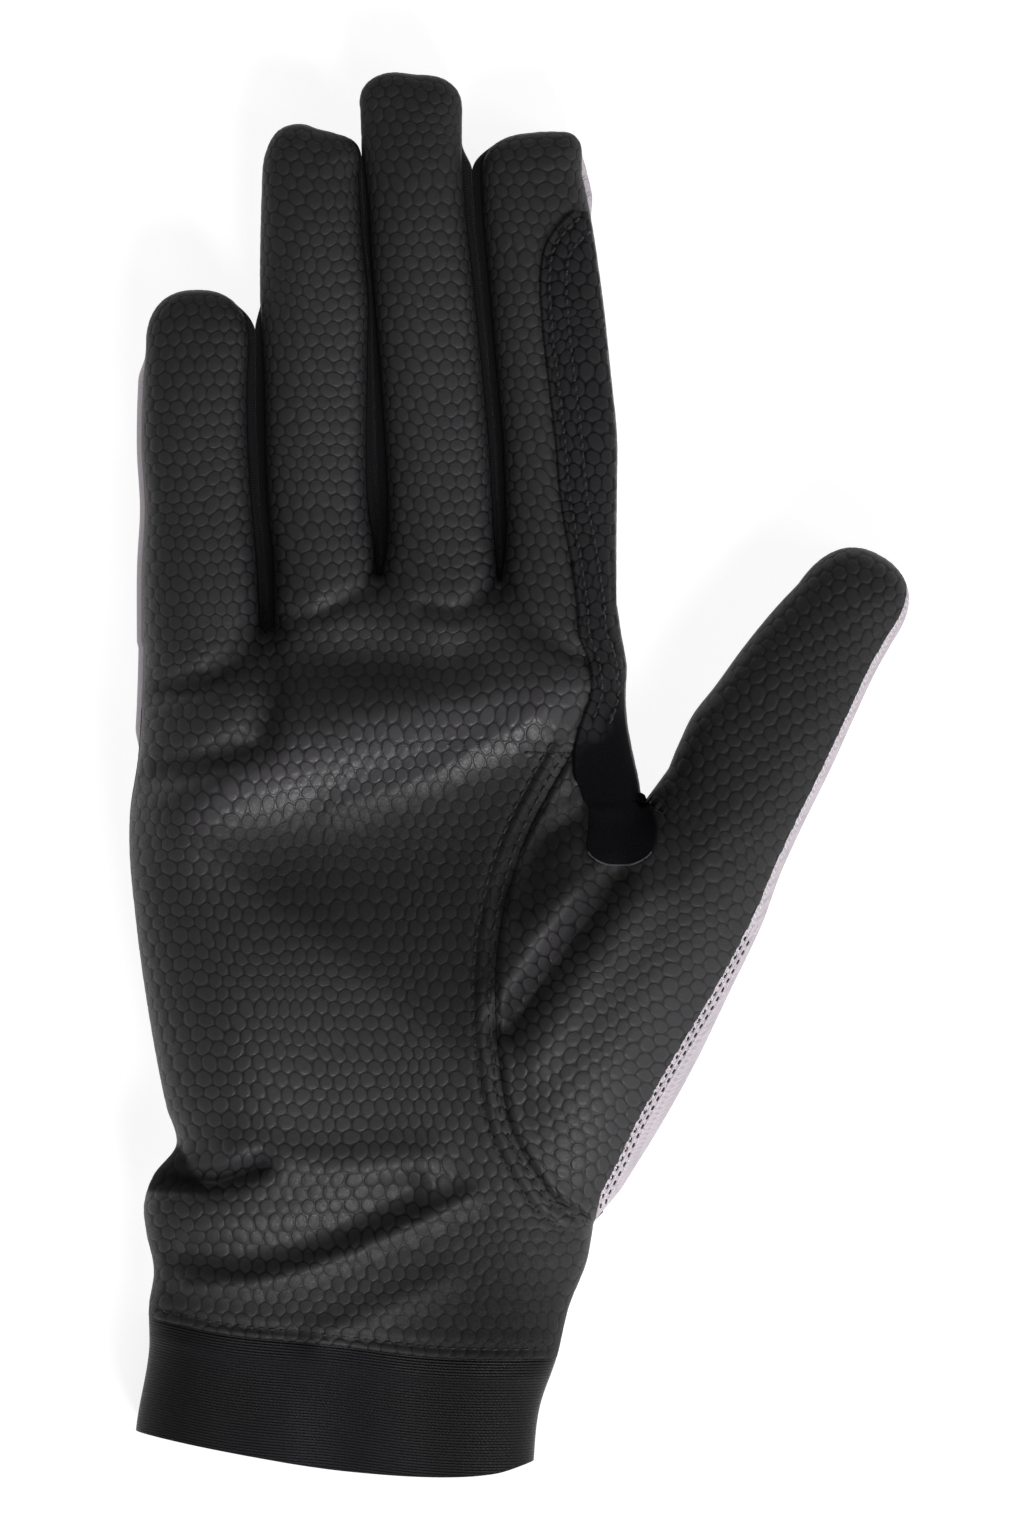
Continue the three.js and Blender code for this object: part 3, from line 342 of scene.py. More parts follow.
def path_distance(points, path):
    """Distance in plan from each point to the nearest place on a path"""
    best = np.full(len(points), np.inf)
    chunk = max(1, 3_000_000 // max(1, len(path)))
    starts = path[:-1]
    runs = path[1:] - path[:-1]
    lengths = np.maximum((runs ** 2).sum(1), 1e-12)
    for at in range(0, len(points), chunk):
        part = points[at:at + chunk]
        dx = part[:, None, 0] - starts[None, :, 0]
        dy = part[:, None, 1] - starts[None, :, 1]
        share = np.clip((dx * runs[:, 0] + dy * runs[:, 1]) / lengths, 0, 1)
        away = (dx - share * runs[:, 0]) ** 2 + (dy - share * runs[:, 1]) ** 2
        best[at:at + chunk] = np.sqrt(away.min(1))
    return best


def unit(runs):
    return runs / np.maximum(np.hypot(runs[:, 0], runs[:, 1]), 1e-9)[:, None]


def left_of(path):
    """Unit steps to the left of a plan path's direction of travel"""
    tangent = unit(np.gradient(path, axis=0))
    return np.stack((-tangent[:, 1], tangent[:, 0]), 1)


def offset_path(path, distance):
    return path + left_of(path) * distance


def line_distance(points, line):
    """Distance in plan to a finely stepped line, by its nearest corner"""
    tree = kdtree.KDTree(len(line))
    for number, (x, y) in enumerate(line.tolist()):
        tree.insert((x, y, 0), number)
    tree.balance()
    near = np.array([tree.find((x, y, 0))[1] for x, y in points.tolist()])
    best = np.full(len(points), np.inf)
    for step in (-1, 0):
        start = np.clip(near + step, 0, len(line) - 2)
        run = line[start + 1] - line[start]
        offset = points - line[start]
        share = np.clip((offset * run).sum(1) / np.maximum((run ** 2).sum(1), 1e-12), 0, 1)
        best = np.minimum(best, np.hypot(*(offset - share[:, None] * run).T))
    return best


def rounded_end(across, up, shape):
    """Place in a unit half-disc for shares across and up, swollen by the shape's table of reach"""
    side = 2 * across - 1
    x = side * np.sqrt(1 - up * up / 2)
    y = up * np.sqrt(1 - side * side / 2)
    length = np.maximum(np.hypot(x, y), 1e-9)
    power = (np.abs(x / length) ** TIP_POWER + np.abs(y / length) ** TIP_POWER) ** (-1 / TIP_POWER)
    turn = np.degrees(np.arctan2(y, x))
    table = {"along": shape["turn"], "reach": shape["reach"]}
    factor = power * read_table(table, "reach", turn)
    return x * factor, y * factor


def smooth_noise(points, size, seed):
    """Smooth random field from -1 to 1 with features of the given size"""
    at = points / size
    cell = np.floor(at).astype(int)
    t = at - cell
    t = t * t * t * (t * (6 * t - 15) + 10)
    table = np.random.default_rng(seed).uniform(-1, 1, (256, 256))
    corners = [[table[(cell[:, 0] + i) % 256, (cell[:, 1] + j) % 256] for j in (0, 1)] for i in (0, 1)]
    low = mix(corners[0][0], corners[1][0], t[:, 0])
    high = mix(corners[0][1], corners[1][1], t[:, 0])
    return mix(low, high, t[:, 1])


def spread(count, bunching=0.5):
    """Shares from 0 to 1, closer together at both ends"""
    even = np.linspace(0, 1, count + 1)
    return mix(even, 0.5 - 0.5 * np.cos(np.pi * even), bunching)


class GloveForm:
    """Plan and heights of the glove in millimetres, from the section tables and the sizes"""

    def __init__(self, sizes):
        self.palm = sizes.palm_length / MM
        self.cuff = sizes.cuff_length / MM
        self.thenar = sizes.thenar_length / MM
        self.thumb = sizes.thumb_length / MM
        self.thumb_width = sizes.thumb_width / MM
        self.side_top = BACK_RISE + sizes.side_height / MM
        self.wall = sizes.leather_wall / MM
        roots = [digit["width"] * digit["root"] for digit in DIGITS]
        self.knuckles = sum(roots)
        self.width = self.knuckles * sizes.palm_to_knuckles
        self.starts = np.concatenate(([0], np.cumsum(roots)))
        self.crotch_shares = self.starts / self.knuckles
        tilt = sizes.thumb_tilt
        self.thumb_origin = np.array((THUMB_ROOT["across"] * self.width, THUMB_ROOT["along"] * self.palm))
        self.thumb_axis = np.array((math.sin(tilt), math.cos(tilt)))
        self.thumb_side = np.array((math.cos(tilt), -math.sin(tilt)))
        self.seam_start = THUMB_SEAM["along"][0]
        self.seam_end = THUMB_SEAM["along"][-1]
        self.crotch_along = INDEX_SIDE["along"][0]
        self.crotch = self.right_point(INDEX_SIDE, self.crotch_along)[0]
        self.wrist = self.right_point(THUMB_SEAM, self.seam_start)[0]
        inner = self.thumb_point(THUMB_INNER["along"][0], THUMB_INNER["inner"][0])[0]
        away = inner - self.crotch
        self.thumb_crotch = self.crotch + away * SEAM_GAP / np.hypot(*away)
        self.outline = self.build_outline()
        low = self.outline.min(0)
        high = self.outline.max(0)
        self.shift = -(low + high) / 2

    def side_point(self, table, column, along):
        along = np.atleast_1d(np.asarray(along, float))
        return np.stack((read_table(table, column, along) * self.width, along * self.palm), 1)

    def right_point(self, table, along):
        return self.side_point(table, "right", along)

    def left_point(self, along):
        return self.side_point(LEFT_SIDE, "left", along)

    def thumb_point(self, along, across):
        along = np.atleast_1d(np.asarray(along, float))
        across = np.atleast_1d(np.asarray(across, float))
        reach = along * np.where(along < 0, self.thenar, self.thumb)
        return (self.thumb_origin + reach[:, None] * self.thumb_axis
                + (across * self.thumb_width)[:, None] * self.thumb_side)

    def knuckle_bend(self, share):
        return np.interp(share, self.crotch_shares, CROTCH_RISE)

    def row_bend(self, along, share):
        low = read_table(CUFF_SEAM_BEND, "rise", share) * (1 - along) ** 8
        return low + self.knuckle_bend(share) * along ** 8

    def palm_rows(self, step, back=False):
        """Rows of the palm: how far along each is, and its right end"""
        along = []
        right = []
        count = max(3, round(self.seam_start * self.palm / step))
        rows = self.seam_start * np.arange(count) / count
        bend = self.row_bend(rows, 1) * (1 - rows / self.seam_start)
        along.append(rows)
        right.append(self.right_point(WRIST_SIDE, rows + bend))
        count = max(6, round((self.seam_end - self.seam_start) * self.palm / step))
        shares = (np.arange(count + 1) / count) ** ROW_BUNCHING
        rows = mix(self.seam_start, self.seam_end, shares)
        along.append(rows)
        if back:
            right.append(mix(self.wrist, self.crotch, (shares * UNDER_REACH)[:, None]))
        else:
            right.append(self.right_point(THUMB_SEAM, rows))
        last = right[-1][-1]
        web = max(2, round(np.hypot(*(self.crotch - last)) / step / 1.6))
        shares = np.arange(1, web) / web
        start = self.seam_end + 0.012
        along.append(mix(self.seam_end, start, shares))
        right.append(mix(last, self.crotch, shares[:, None]))
        count = max(4, round((1 - self.crotch_along) * self.palm / step / 1.1))
        shares = np.arange(count + 1) / count
        along.append(mix(start, 1, shares))
        right.append(self.right_point(INDEX_SIDE, mix(self.crotch_along, 1, shares)))
        return np.concatenate(along), np.concatenate(right)

    def palm_grid(self, across, step, back=False):
        """Plan points of the palm, rows upwards and columns to the right"""
        along, right = self.palm_rows(step, back)
        left = self.left_point(along + self.row_bend(along, 0))
        x = mix(left[:, :1], right[:, :1], across[None, :])
        straight = (along[:, None] + self.row_bend(along[:, None], across[None, :])) * self.palm
        error = right[:, 1] - (along + self.row_bend(along, 1)) * self.palm
        y = straight + error[:, None] * across[None, :] ** 14
        y[:, 0] = left[:, 1]
        return np.stack((x, y), 2), along

    def digit_centre(self, index):
        start = self.left_point(1 + self.row_bend(1.0, 0))[0, 0]
        end = self.right_point(INDEX_SIDE, 1)[0, 0]
        digit = DIGITS[index]
        middle = self.starts[index] + digit["width"] * digit["root"] / 2
        return start + middle * (end - start) / self.knuckles

    def digit_points(self, index, along, share):
        digit = DIGITS[index]
        centre = self.digit_centre(index)
        left = centre + read_table(digit, "left", along) * digit["width"]
        right = centre + read_table(digit, "right", along) * digit["width"]
        across = mix(self.crotch_shares[index], self.crotch_shares[index + 1], share)
        bend = self.knuckle_bend(across) * self.palm * np.maximum(0, 1 - along / 0.3) ** 3
        return np.stack((mix(left, right, share), self.palm + bend + along * digit["length"]), -1)

    def digit_grid(self, index, shares, step, base):
        digit = DIGITS[index]
        shoulder = 1 - digit["tip"] / digit["length"]
        count = max(4, round(shoulder * digit["length"] / step))
        along = shoulder * np.arange(1, count + 1) / count
        body = self.digit_points(index, along[:, None], shares[None, :])
        tips = max(4, round(1.2 * digit["tip"] / step))
        steps = np.arange(1, tips + 1) / tips
        left, right = body[-1, 0], body[-1, -1]
        x, y = rounded_end(shares[None, :], steps[:, None], digit)
        across = (left[0] + right[0]) / 2 + x * (right[0] - left[0]) / 2
        tip = np.stack((across, left[1] + y * digit["tip"]), 2)
        return np.concatenate((base[None], body, tip))

    def hand_grids(self, columns, step, back=False, bunching=0.5):
        """Plan grids of the palm and of the four fingers above it"""
        shares = spread(columns, bunching)
        across = [0]
        for index in range(len(DIGITS)):
            across.extend(mix(self.crotch_shares[index], self.crotch_shares[index + 1], shares[1:]))
        across = np.array(across)
        across[-1] = 1
        palm, along = self.palm_grid(across, step, back)
        fingers = []
        for index in range(len(DIGITS)):
            base = palm[-1, index * columns:(index + 1) * columns + 1]
            fingers.append(self.digit_grid(index, shares, step, base))
        return palm, fingers, along

    def thumb_rows(self, step, underside=False):
        """Rows of the thumb: inner end, outer end and the share at which the strip begins"""
        count = max(12, round((self.seam_end - self.seam_start) * self.palm / step))
        shares = np.arange(count + 1) / count
        rows = mix(self.seam_start, self.seam_end, shares ** ROW_BUNCHING)
        if underside:
            inner = mix(self.wrist, self.crotch, (shares ** ROW_BUNCHING * UNDER_REACH)[:, None])
        else:
            inner = self.right_point(THUMB_SEAM, rows)
        inner = offset_path(inner, -0.04)
        along = -0.965 * (1 - shares) - 0.06 * shares
        web = max(4, round(np.hypot(*(self.thumb_crotch - inner[-1])) / step / 1.4))
        part = np.arange(1, web + 1) / web
        inner = np.concatenate((inner, mix(inner[-1], self.thumb_crotch, part[:, None])))
        along = np.concatenate((along, mix(-0.06, THUMB_CROTCH, part)))
        top = THUMB_INNER["along"][-1]
        free = max(10, round((top - THUMB_FREE) * self.thumb / step))
        part = THUMB_FREE + (top - THUMB_FREE) * np.arange(1, free + 1) / free
        side = self.thumb_point(part, read_table(THUMB_INNER, "inner", part))
        first = THUMB_FREE + (top - THUMB_FREE) / 8
        anchor = self.thumb_point(first, read_table(THUMB_INNER, "inner", first))
        near = part < first
        reached = (part[near] - THUMB_CROTCH) / (first - THUMB_CROTCH)
        side[near] = mix(self.thumb_crotch, anchor, reached[:, None])
        inner = np.concatenate((inner, side))
        along = np.concatenate((along, part))
        outer = self.thumb_point(along, read_table(THUMB_OUTER, "outer", along))
        border = self.thumb_point(along, read_table(THUMB_OUTER, "border", along))
        before = np.hypot(*(border - inner).T)
        after = np.hypot(*(outer - border).T)
        share = before / (before + after)
        last = max(1, round(count / 12))
        start = self.wrist + (outer[last] - self.wrist) * 2 * SEAM_GAP / np.hypot(*(outer[last] - self.wrist))
        for row in range(last):
            outer[row] = mix(start, outer[last], row / last)
            share[row] = mix(0.4, share[last], row / last)
        return inner, outer, share, along

    def thumb_grid(self, across, step, underside=False, strip=None):
        """Plan grid of the thumb front, or of its strip when strip holds the shares across that"""
        inner, outer, share, along = self.thumb_rows(step, underside)
        if strip is None:
            at = share[:, None] * across[None, :]
        else:
            at = mix(share[:, None], 1.0, strip[None, :])
        body = mix(inner[:, None], outer[:, None], at[:, :, None])
        reach = (1 - along[-1]) * self.thumb
        tips = max(4, round(1.2 * reach / step))
        steps = np.arange(1, tips + 1) / tips
        x, y = rounded_end(at[-1][None, :], steps[:, None], THUMB_TIP)
        half = (outer[-1] - inner[-1]) / 2
        tip = inner[-1] + half + x[:, :, None] * half + (y * reach)[:, :, None] * self.thumb_axis
        return np.concatenate((body, tip))

    def cuff_seam(self, shares=np.linspace(0, 1, 60)):
        """Plan line of the palm's lower edge, where the cuff is sewn on"""
        return self.palm_grid(shares, 4)[0][0]

    def cuff_grid(self, shares, rows):
        seam = self.cuff_seam(shares)
        down = np.linspace(0, 1, rows + 1)[:, None]
        hem = -read_table(HEM_DEPTH, "depth", shares) * self.cuff
        y = mix(seam[None, :, 1] - SEAM_GAP * 0.5, hem[None, :], down)
        left = read_table(LEFT_SIDE, "left", y / self.palm) * self.width
        right = read_table(WRIST_SIDE, "right", y / self.palm) * self.width
        return np.stack((mix(left, right, shares[None, :]), y), 2)

    def build_outline(self):
        """Outline from the hem's left end round the digits to its right end, and its stretches"""
        step = FRONT_STEP
        palm, fingers, along = self.hand_grids(FRONT_COLUMNS, step)
        cuff = self.cuff_grid(np.array((0.0, 1.0)), 52)
        thumb = self.thumb_grid(spread(THUMB_COLUMNS, 0.35), step)
        strip = self.thumb_grid(None, step, strip=np.linspace(0, 1, 13))
        thumb_along = self.thumb_rows(step)[3]
        rows, right = self.palm_rows(step)
        stretches = {}
        wrap = int(np.argmax(along > 0.74))
        points = [cuff[::-1, 0], palm[:, 0]]
        tops = [grid[-1, 1:-1] for grid in fingers]
        half = tops[0].shape[0] // 2
        stretches["palm_left"] = palm[:wrap + 1, 0]
        stretches["outer_edge"] = np.concatenate((palm[wrap:, 0], fingers[0][1:, 0], tops[0][:half + 1]))
        for index, grid in enumerate(fingers):
            if index > 0:
                before = fingers[index - 1]
                stretches[f"gap{index}"] = np.concatenate((
                    tops[index - 1][half:], before[::-1, -1], grid[1:, 0], tops[index][:half + 1]))
            points += [grid[1:, 0], tops[index], grid[::-1, -1]]
        knuckle = np.flatnonzero(np.hypot(*(right - self.crotch).T) < 1e-6)[-1]
        side = right[knuckle:][::-1]
        stretches["index_edge"] = np.concatenate((tops[-1][half:], fingers[-1][::-1, -1], side[1:]))
        points.append(side[1:])
        crotch_row = int(np.argmax(thumb_along >= THUMB_CROTCH - 0.0001))
        thumb_inner = thumb[crotch_row:, 0]
        tip = np.concatenate((thumb[-1, 1:], strip[-1, 1:-1]))
        outer = strip[::-1, -1]
        half_tip = thumb[-1].shape[0]
        stretches["thumb_free"] = np.concatenate((thumb_inner, tip[:half_tip]))
        stretches["thumb_edge"] = np.concatenate((tip[half_tip - 1:], outer))
        points += [thumb_inner, tip, outer]
        wrist = right[rows < self.seam_start + 1e-9][::-1]
        stretches["palm_right"] = wrist
        points += [wrist, cuff[:, 1]]
        stretches["cuff_left"] = cuff[::-1, 0]
        stretches["cuff_right"] = cuff[:, 1]
        self.stretches = stretches
        line = np.concatenate(points)
        keep = np.concatenate(([True], np.hypot(*np.diff(line, axis=0).T) > 1e-4))
        return line[keep]

    def form_at(self, points, column):
        hand = read_table(HAND_FORM, column, points[:, 1] / self.palm)
        offset = points - self.thumb_origin
        along = offset @ self.thumb_axis / self.thumb
        across = offset @ self.thumb_side / self.thumb_width
        share = smoothstep(along, -0.2, 0.25) * smoothstep(across, -1.3, -0.6)
        return mix(hand, read_table(THUMB_FORM, column, along), share)

    def relief(self, points):
        """Height that pads and folds add at places in plan"""
        height = np.zeros(len(points))
        for pad in PADS:
            dx = (points[:, 0] / self.width - pad["across"]) / pad["wide"]
            dy = (points[:, 1] / self.palm - pad["along"]) / pad["high"]
            height += pad["height"] * np.exp(-dx * dx - dy * dy)
        for index, digit in enumerate(DIGITS):
            centre = self.digit_centre(index)
            dx = (points[:, 0] - centre) / (digit["width"] * 0.75)
            dy = (points[:, 1] - self.palm - digit["length"]) / TIP_DROOP["reach"]
            height -= TIP_DROOP["height"] * np.exp(-dx ** 4 - dy ** 2)
        for fold in FOLDS:
            path = np.array(fold["path"]) * (self.width, self.palm)
            away = path_distance(points, path) / (fold["width"] * self.width)
            height += fold["height"] * np.exp(-away * away)
        return height

    def edge_distance(self, points):
        """Distance to the outline, nil on the edge itself"""
        return np.maximum(0, line_distance(points, self.outline) - 0.03)

    def front_height(self, points):
        flat = points.reshape(-1, 2)
        distance = self.edge_distance(flat)
        inward = np.minimum(1, distance / self.form_at(flat, "round"))
        dome = (1 - (1 - inward) ** CROWN_POWER) ** (1 / CROWN_POWER)
        height = self.side_top + (self.form_at(flat, "rise") + self.relief(flat)) * dome
        return height.reshape(points.shape[:-1])

    def back_height(self, points):
        flat = points.reshape(-1, 2)
        inward = np.minimum(BACK_RISE, self.edge_distance(flat))
        height = BACK_RISE - np.sqrt(BACK_RISE ** 2 - (BACK_RISE - inward) ** 2)
        return np.maximum(height, BACK_FLOOR).reshape(points.shape[:-1])

    def on_front(self, grid):
        return np.concatenate((grid, self.front_height(grid)[..., None]), -1)

    def on_back(self, grid):
        return np.concatenate((grid, self.back_height(grid)[..., None]), -1)


_forms = {}


def settings_of(group):
    return [name for name in group.bl_rna.properties.keys() if name not in ("rna_type", "name")]


def glove_form():
    """The glove's form for the sizes now set, made once for each set of them"""
    sizes = bpy.context.scene.glove_sizes
    key = tuple(getattr(sizes, name) for name in settings_of(sizes))
    if key not in _forms:
        _forms[key] = GloveForm(sizes)
    return _forms[key]


def grid_faces(rows, columns, start, flip):
    index = start + np.arange(rows * columns).reshape(rows, columns)
    quads = np.stack((index[:-1, :-1], index[:-1, 1:], index[1:, 1:], index[1:, :-1]), -1).reshape(-1, 4)
    return quads[:, ::-1] if flip else quads


class Sheet:
    """Points and quads of one sewn piece, gathered from grids that share their edges"""

    def __init__(self):
        self.grids = []

    def add(self, grid, flip=False):
        self.grids.append((grid, flip))

    def welded(self):
        points = []
        faces = []
        start = 0
        for grid, flip in self.grids:
            rows, columns = grid.shape[:2]
            points.append(grid.reshape(-1, 3))
            faces.append(grid_faces(rows, columns, start, flip))
            start += rows * columns
        points = np.concatenate(points)
        faces = np.concatenate(faces)
        _, first, inverse = np.unique(np.round(points, 3), axis=0, return_index=True, return_inverse=True)
        return points[first], inverse.reshape(-1)[faces]


def point_normals(points, faces):
    """Unit normal at each point, from the quads around it"""
    a = points[faces[:, 2]] - points[faces[:, 0]]
    b = points[faces[:, 3]] - points[faces[:, 1]]
    cross = np.cross(a, b)
    normals = np.zeros_like(points)
    for corner in range(4):
        np.add.at(normals, faces[:, corner], cross)
    return normals / np.maximum(np.linalg.norm(normals, axis=1), 1e-9)[:, None]


def turn_edges(points, faces, normals, wall, steps=2):
    """Turns the open edges inwards by the wall, so that the piece shows its thickness"""
    ends = np.concatenate([np.stack((faces[:, k], faces[:, (k + 1) % 4]), 1) for k in range(4)])
    ends = ends[ends[:, 0] != ends[:, 1]]
    codes = ends[:, 0].astype(np.int64) * len(points) + ends[:, 1]
    back = ends[:, 1].astype(np.int64) * len(points) + ends[:, 0]
    open_ends = ends[~np.isin(codes, back)]
    rim, inverse = np.unique(open_ends, return_inverse=True)
    inverse = inverse.reshape(open_ends.shape)
    made = [points]
    quads = [faces]
    before = rim
    for step in range(1, steps + 1):
        start = len(points) + (step - 1) * len(rim)
        made.append(points[rim] - normals[rim] * wall * step / steps)
        now = start + np.arange(len(rim))
        quads.append(np.stack((before[inverse[:, 1]], before[inverse[:, 0]],
                               now[inverse[:, 0]], now[inverse[:, 1]]), 1))
        before = now
    source = np.concatenate([np.arange(len(points))] + [rim] * steps)
    return np.concatenate(made), np.concatenate(quads), source


def make_object(name, points, faces, material, maps=None, masks=None):
    """Mesh object from millimetre points in the form's own frame, set where the solids are"""
    form = glove_form()
    placed = (points + (form.shift[0], form.shift[1], 0)) * MM
    mesh = bpy.data.meshes.new(name)
    triangle = faces[:, 0] == faces[:, 3]
    lists = [face[:3] if flat else face for face, flat in zip(faces.tolist(), triangle.tolist())]
    mesh.from_pydata(placed.tolist(), [], lists)
    corners = np.empty(len(mesh.loops), np.int32)
    mesh.loops.foreach_get("vertex_index", corners)
    for title, values in (maps or {}).items():
        layer = mesh.uv_layers.new(name=title)
        layer.data.foreach_set("uv", values[corners].astype(np.float32).ravel())
    for title, values in (masks or {}).items():
        attribute = mesh.attributes.new(title, "FLOAT", "POINT")
        attribute.data.foreach_set("value", values.astype(np.float32))
    mesh.polygons.foreach_set("use_smooth", np.ones(len(mesh.polygons), bool))
    mesh.validate()
    mesh.update()
    made = bpy.data.objects.new(name, mesh)
    bpy.context.scene.collection.objects.link(made)
    made.data.materials.append(material)
    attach(made, BODY)
    return made


# Embossing

SCALE_ROW = math.sqrt(3) / 2
SCALE_OFFSETS = ((0.0, 0.0), (0.5, SCALE_ROW))
SCALE_TALL = {"palm": 1.16, "fingers": 1.06}
SCALE_WARPS = ({"size": 11.0, "amount": 1.1}, {"size": 3.6, "amount": 0.42})
ROUNDNESS = 4.5
WRAP_FROM = 11.0


def scale_tall(form, y):
    """How much taller than wide the scales are: more on the palm than on the fingers"""
    return mix(SCALE_TALL["fingers"], SCALE_TALL["palm"], smoothstep(y / form.palm, 1.05, 0.75))


def scale_coordinates(points, normals, turn, seed):
    """Warped place in the field of scales, in cells: one unit is one scale across"""
    fall = np.maximum(0, WRAP_FROM - points[:, 2:])
    points = points[:, :2] + fall * normals[:, :2]
    form = glove_form()
    width = bpy.context.scene.glove_sizes.scale_width / MM
    turned = points @ np.array(((math.cos(turn), math.sin(turn)), (-math.sin(turn), math.cos(turn))))
    place = np.zeros_like(turned)
    for number, warp in enumerate(SCALE_WARPS):
        for axis in (0, 1):
            place[:, axis] += smooth_noise(turned, warp["size"], seed + 2 * number + axis) * warp["amount"]
    place[:, 0] += turned[:, 0]
    if turn == 0:
        rise = np.linspace(-40, form.palm * 2.2, 800)
        steps = 1 / scale_tall(form, rise)
        climbed = np.concatenate(([0], np.cumsum((steps[1:] + steps[:-1]) / 2 * np.diff(rise))))
        place[:, 1] += np.interp(turned[:, 1], rise, climbed)
    else:
        place[:, 1] += turned[:, 1] / scale_tall(form, points[:, 1]).mean()
    return place / width


def hex_distance(place):
    """Distance to the middle of the nearest scale, 0.5 on its border, and the place inside it"""
    tall = 2 * SCALE_ROW
    best = None
    for offset in SCALE_OFFSETS:
        x = np.mod(place[:, 0] - offset[0] + 0.5, 1) - 0.5
        y = np.mod(place[:, 1] - offset[1] + tall / 2, tall) - tall / 2
        if best is None:
            best = (x, y)
        else:
            nearer = x * x + y * y < best[0] ** 2 + best[1] ** 2
            best = (np.where(nearer, x, best[0]), np.where(nearer, y, best[1]))
    x, y = best
    sides = np.abs(x) ** ROUNDNESS
    sides += np.abs(x * 0.5 + y * SCALE_ROW) ** ROUNDNESS + np.abs(x * 0.5 - y * SCALE_ROW) ** ROUNDNESS
    return sides ** (1 / ROUNDNESS), y


def scale_relief(place):
    """Height of the embossing, from 0 in the groove to 1 on a scale"""
    away, rise = hex_distance(place)
    top = 1 - smoothstep(away, 0.37, 0.51)
    return top * (1 - 0.5 * rise / SCALE_ROW)


def painted_shading_at(points):
    """Painted light and shade: how much darker or lighter each place is drawn, from the tables of painted
    light and shade
    """
    form = glove_form()
    tone = np.zeros(len(points))
    for area in PAINTED_LIGHT_AND_SHADE:
        dx = (points[:, 0] / form.width - area["across"]) / area["wide"]
        dy = (points[:, 1] / form.palm - area["along"]) / area["high"]
        tone += area["amount"] * np.exp(-dx * dx - dy * dy)
    for area in SHADES:
        corners = np.array(area["corners"]) * (form.width, form.palm)
        inside = np.ones(len(points))
        for start, end in zip(corners, np.roll(corners, -1, axis=0)):
            run = (end - start) / np.hypot(*(end - start))
            away = run[0] * (points[:, 1] - start[1]) - run[1] * (points[:, 0] - start[0])
            inside *= smoothstep(away, -area["soft"], area["soft"])
        tone += area["amount"] * inside
    return tone


# Materials

TONE_POWER = 1.5
LEATHER_GRAIN = 2600.0
KNIT_GRAIN = 3000.0
THREAD_GRAIN = 5200.0
KNITS = {
    "Stretch fabric": {"colour": "fabric", "dark": 0.72, "light": 1.12, "rows": 2.1, "loops": 1.9,
                       "rib": 0.25, "depth": 0.00012, "rough": 0.86, "sheen": 0.25},
    "Side fabric": {"colour": "side", "dark": 0.6, "light": 1.5, "rows": 2.4, "loops": 2.2, "rib": 0.3,
                    "depth": 0.00008, "rough": 0.9, "sheen": 0.08},
    "Cuff knit": {"colour": "cuff", "dark": 0.4, "light": 1.7, "rows": 2.1, "loops": 1.6, "rib": 0.8,
                  "depth": 0.00016, "rough": 0.55, "sheen": 0.05},
}


def feed(tree, node, inputs):
    """Links each named input to a socket, or sets its plain value"""
    for key, value in inputs.items():
        if isinstance(value, bpy.types.NodeSocket):
            tree.links.new(value, node.inputs[key])
        else:
            node.inputs[key].default_value = value


def add_node(tree, kind, place, inputs=None, **settings):
    node = tree.nodes.new(kind)
    node.location = place
    for key, value in settings.items():
        setattr(node, key, value)
    feed(tree, node, inputs or {})
    return node


def math_node(tree, operation, a, b=None, place=(0, 0), clamp=False):
    inputs = {0: a}
    if b is not None:
        inputs[1] = b
    return add_node(tree, "ShaderNodeMath", place, inputs, operation=operation, use_clamp=clamp).outputs[0]


def mix_colour(tree, factor, a, b, place=(0, 0), blend="MIX"):
    inputs = {0: factor, 6: a, 7: b}
    return add_node(tree, "ShaderNodeMix", place, inputs, data_type="RGBA", blend_type=blend).outputs[2]


def mix_value(tree, factor, a, b, place=(0, 0)):
    return add_node(tree, "ShaderNodeMix", place, {0: factor, 2: a, 3: b}, data_type="FLOAT").outputs[0]


def remap(tree, value, low, high, to_low, to_high, place=(0, 0)):
    inputs = {0: value, 1: low, 2: high, 3: to_low, 4: to_high}
    return add_node(tree, "ShaderNodeMapRange", place, inputs, interpolation_type="SMOOTHSTEP").outputs[0]


def add_bump(tree, place, strength, distance, height, normal=None):
    inputs = {"Strength": strength, "Distance": distance, "Height": height}
    if normal is not None:
        inputs["Normal"] = normal
    return add_node(tree, "ShaderNodeBump", place, inputs).outputs[0]


def new_group(name, inputs, outputs):
    """Node group with named sockets, or the one already made"""
    if name in bpy.data.node_groups:
        return bpy.data.node_groups[name], None, None
    tree = bpy.data.node_groups.new(name, "ShaderNodeTree")
    for title, kind, value in inputs:
        socket = tree.interface.new_socket(name=title, in_out="INPUT", socket_type=kind)
        if value is not None:
            socket.default_value = value
    for title, kind in outputs:
        tree.interface.new_socket(name=title, in_out="OUTPUT", socket_type=kind)
    entry = add_node(tree, "NodeGroupInput", (-1200, 0))
    leave = add_node(tree, "NodeGroupOutput", (900, 0))
    return tree, entry, leave


def place_in_cell(tree, value, middle, period, high):
    """Distance along one axis from the middle of the nearest cell, and the number of that cell"""
    shifted = math_node(tree, "ADD", value, period / 2 - middle, (-800, high))
    scaled = math_node(tree, "DIVIDE", shifted, period, (-700, high))
    cell = math_node(tree, "FLOOR", scaled, None, (-620, high))
    share = math_node(tree, "SUBTRACT", scaled, cell, (-540, high))
    centred = math_node(tree, "SUBTRACT", share, 0.5, (-460, high))
    return math_node(tree, "MULTIPLY", centred, period, (-380, high)), cell


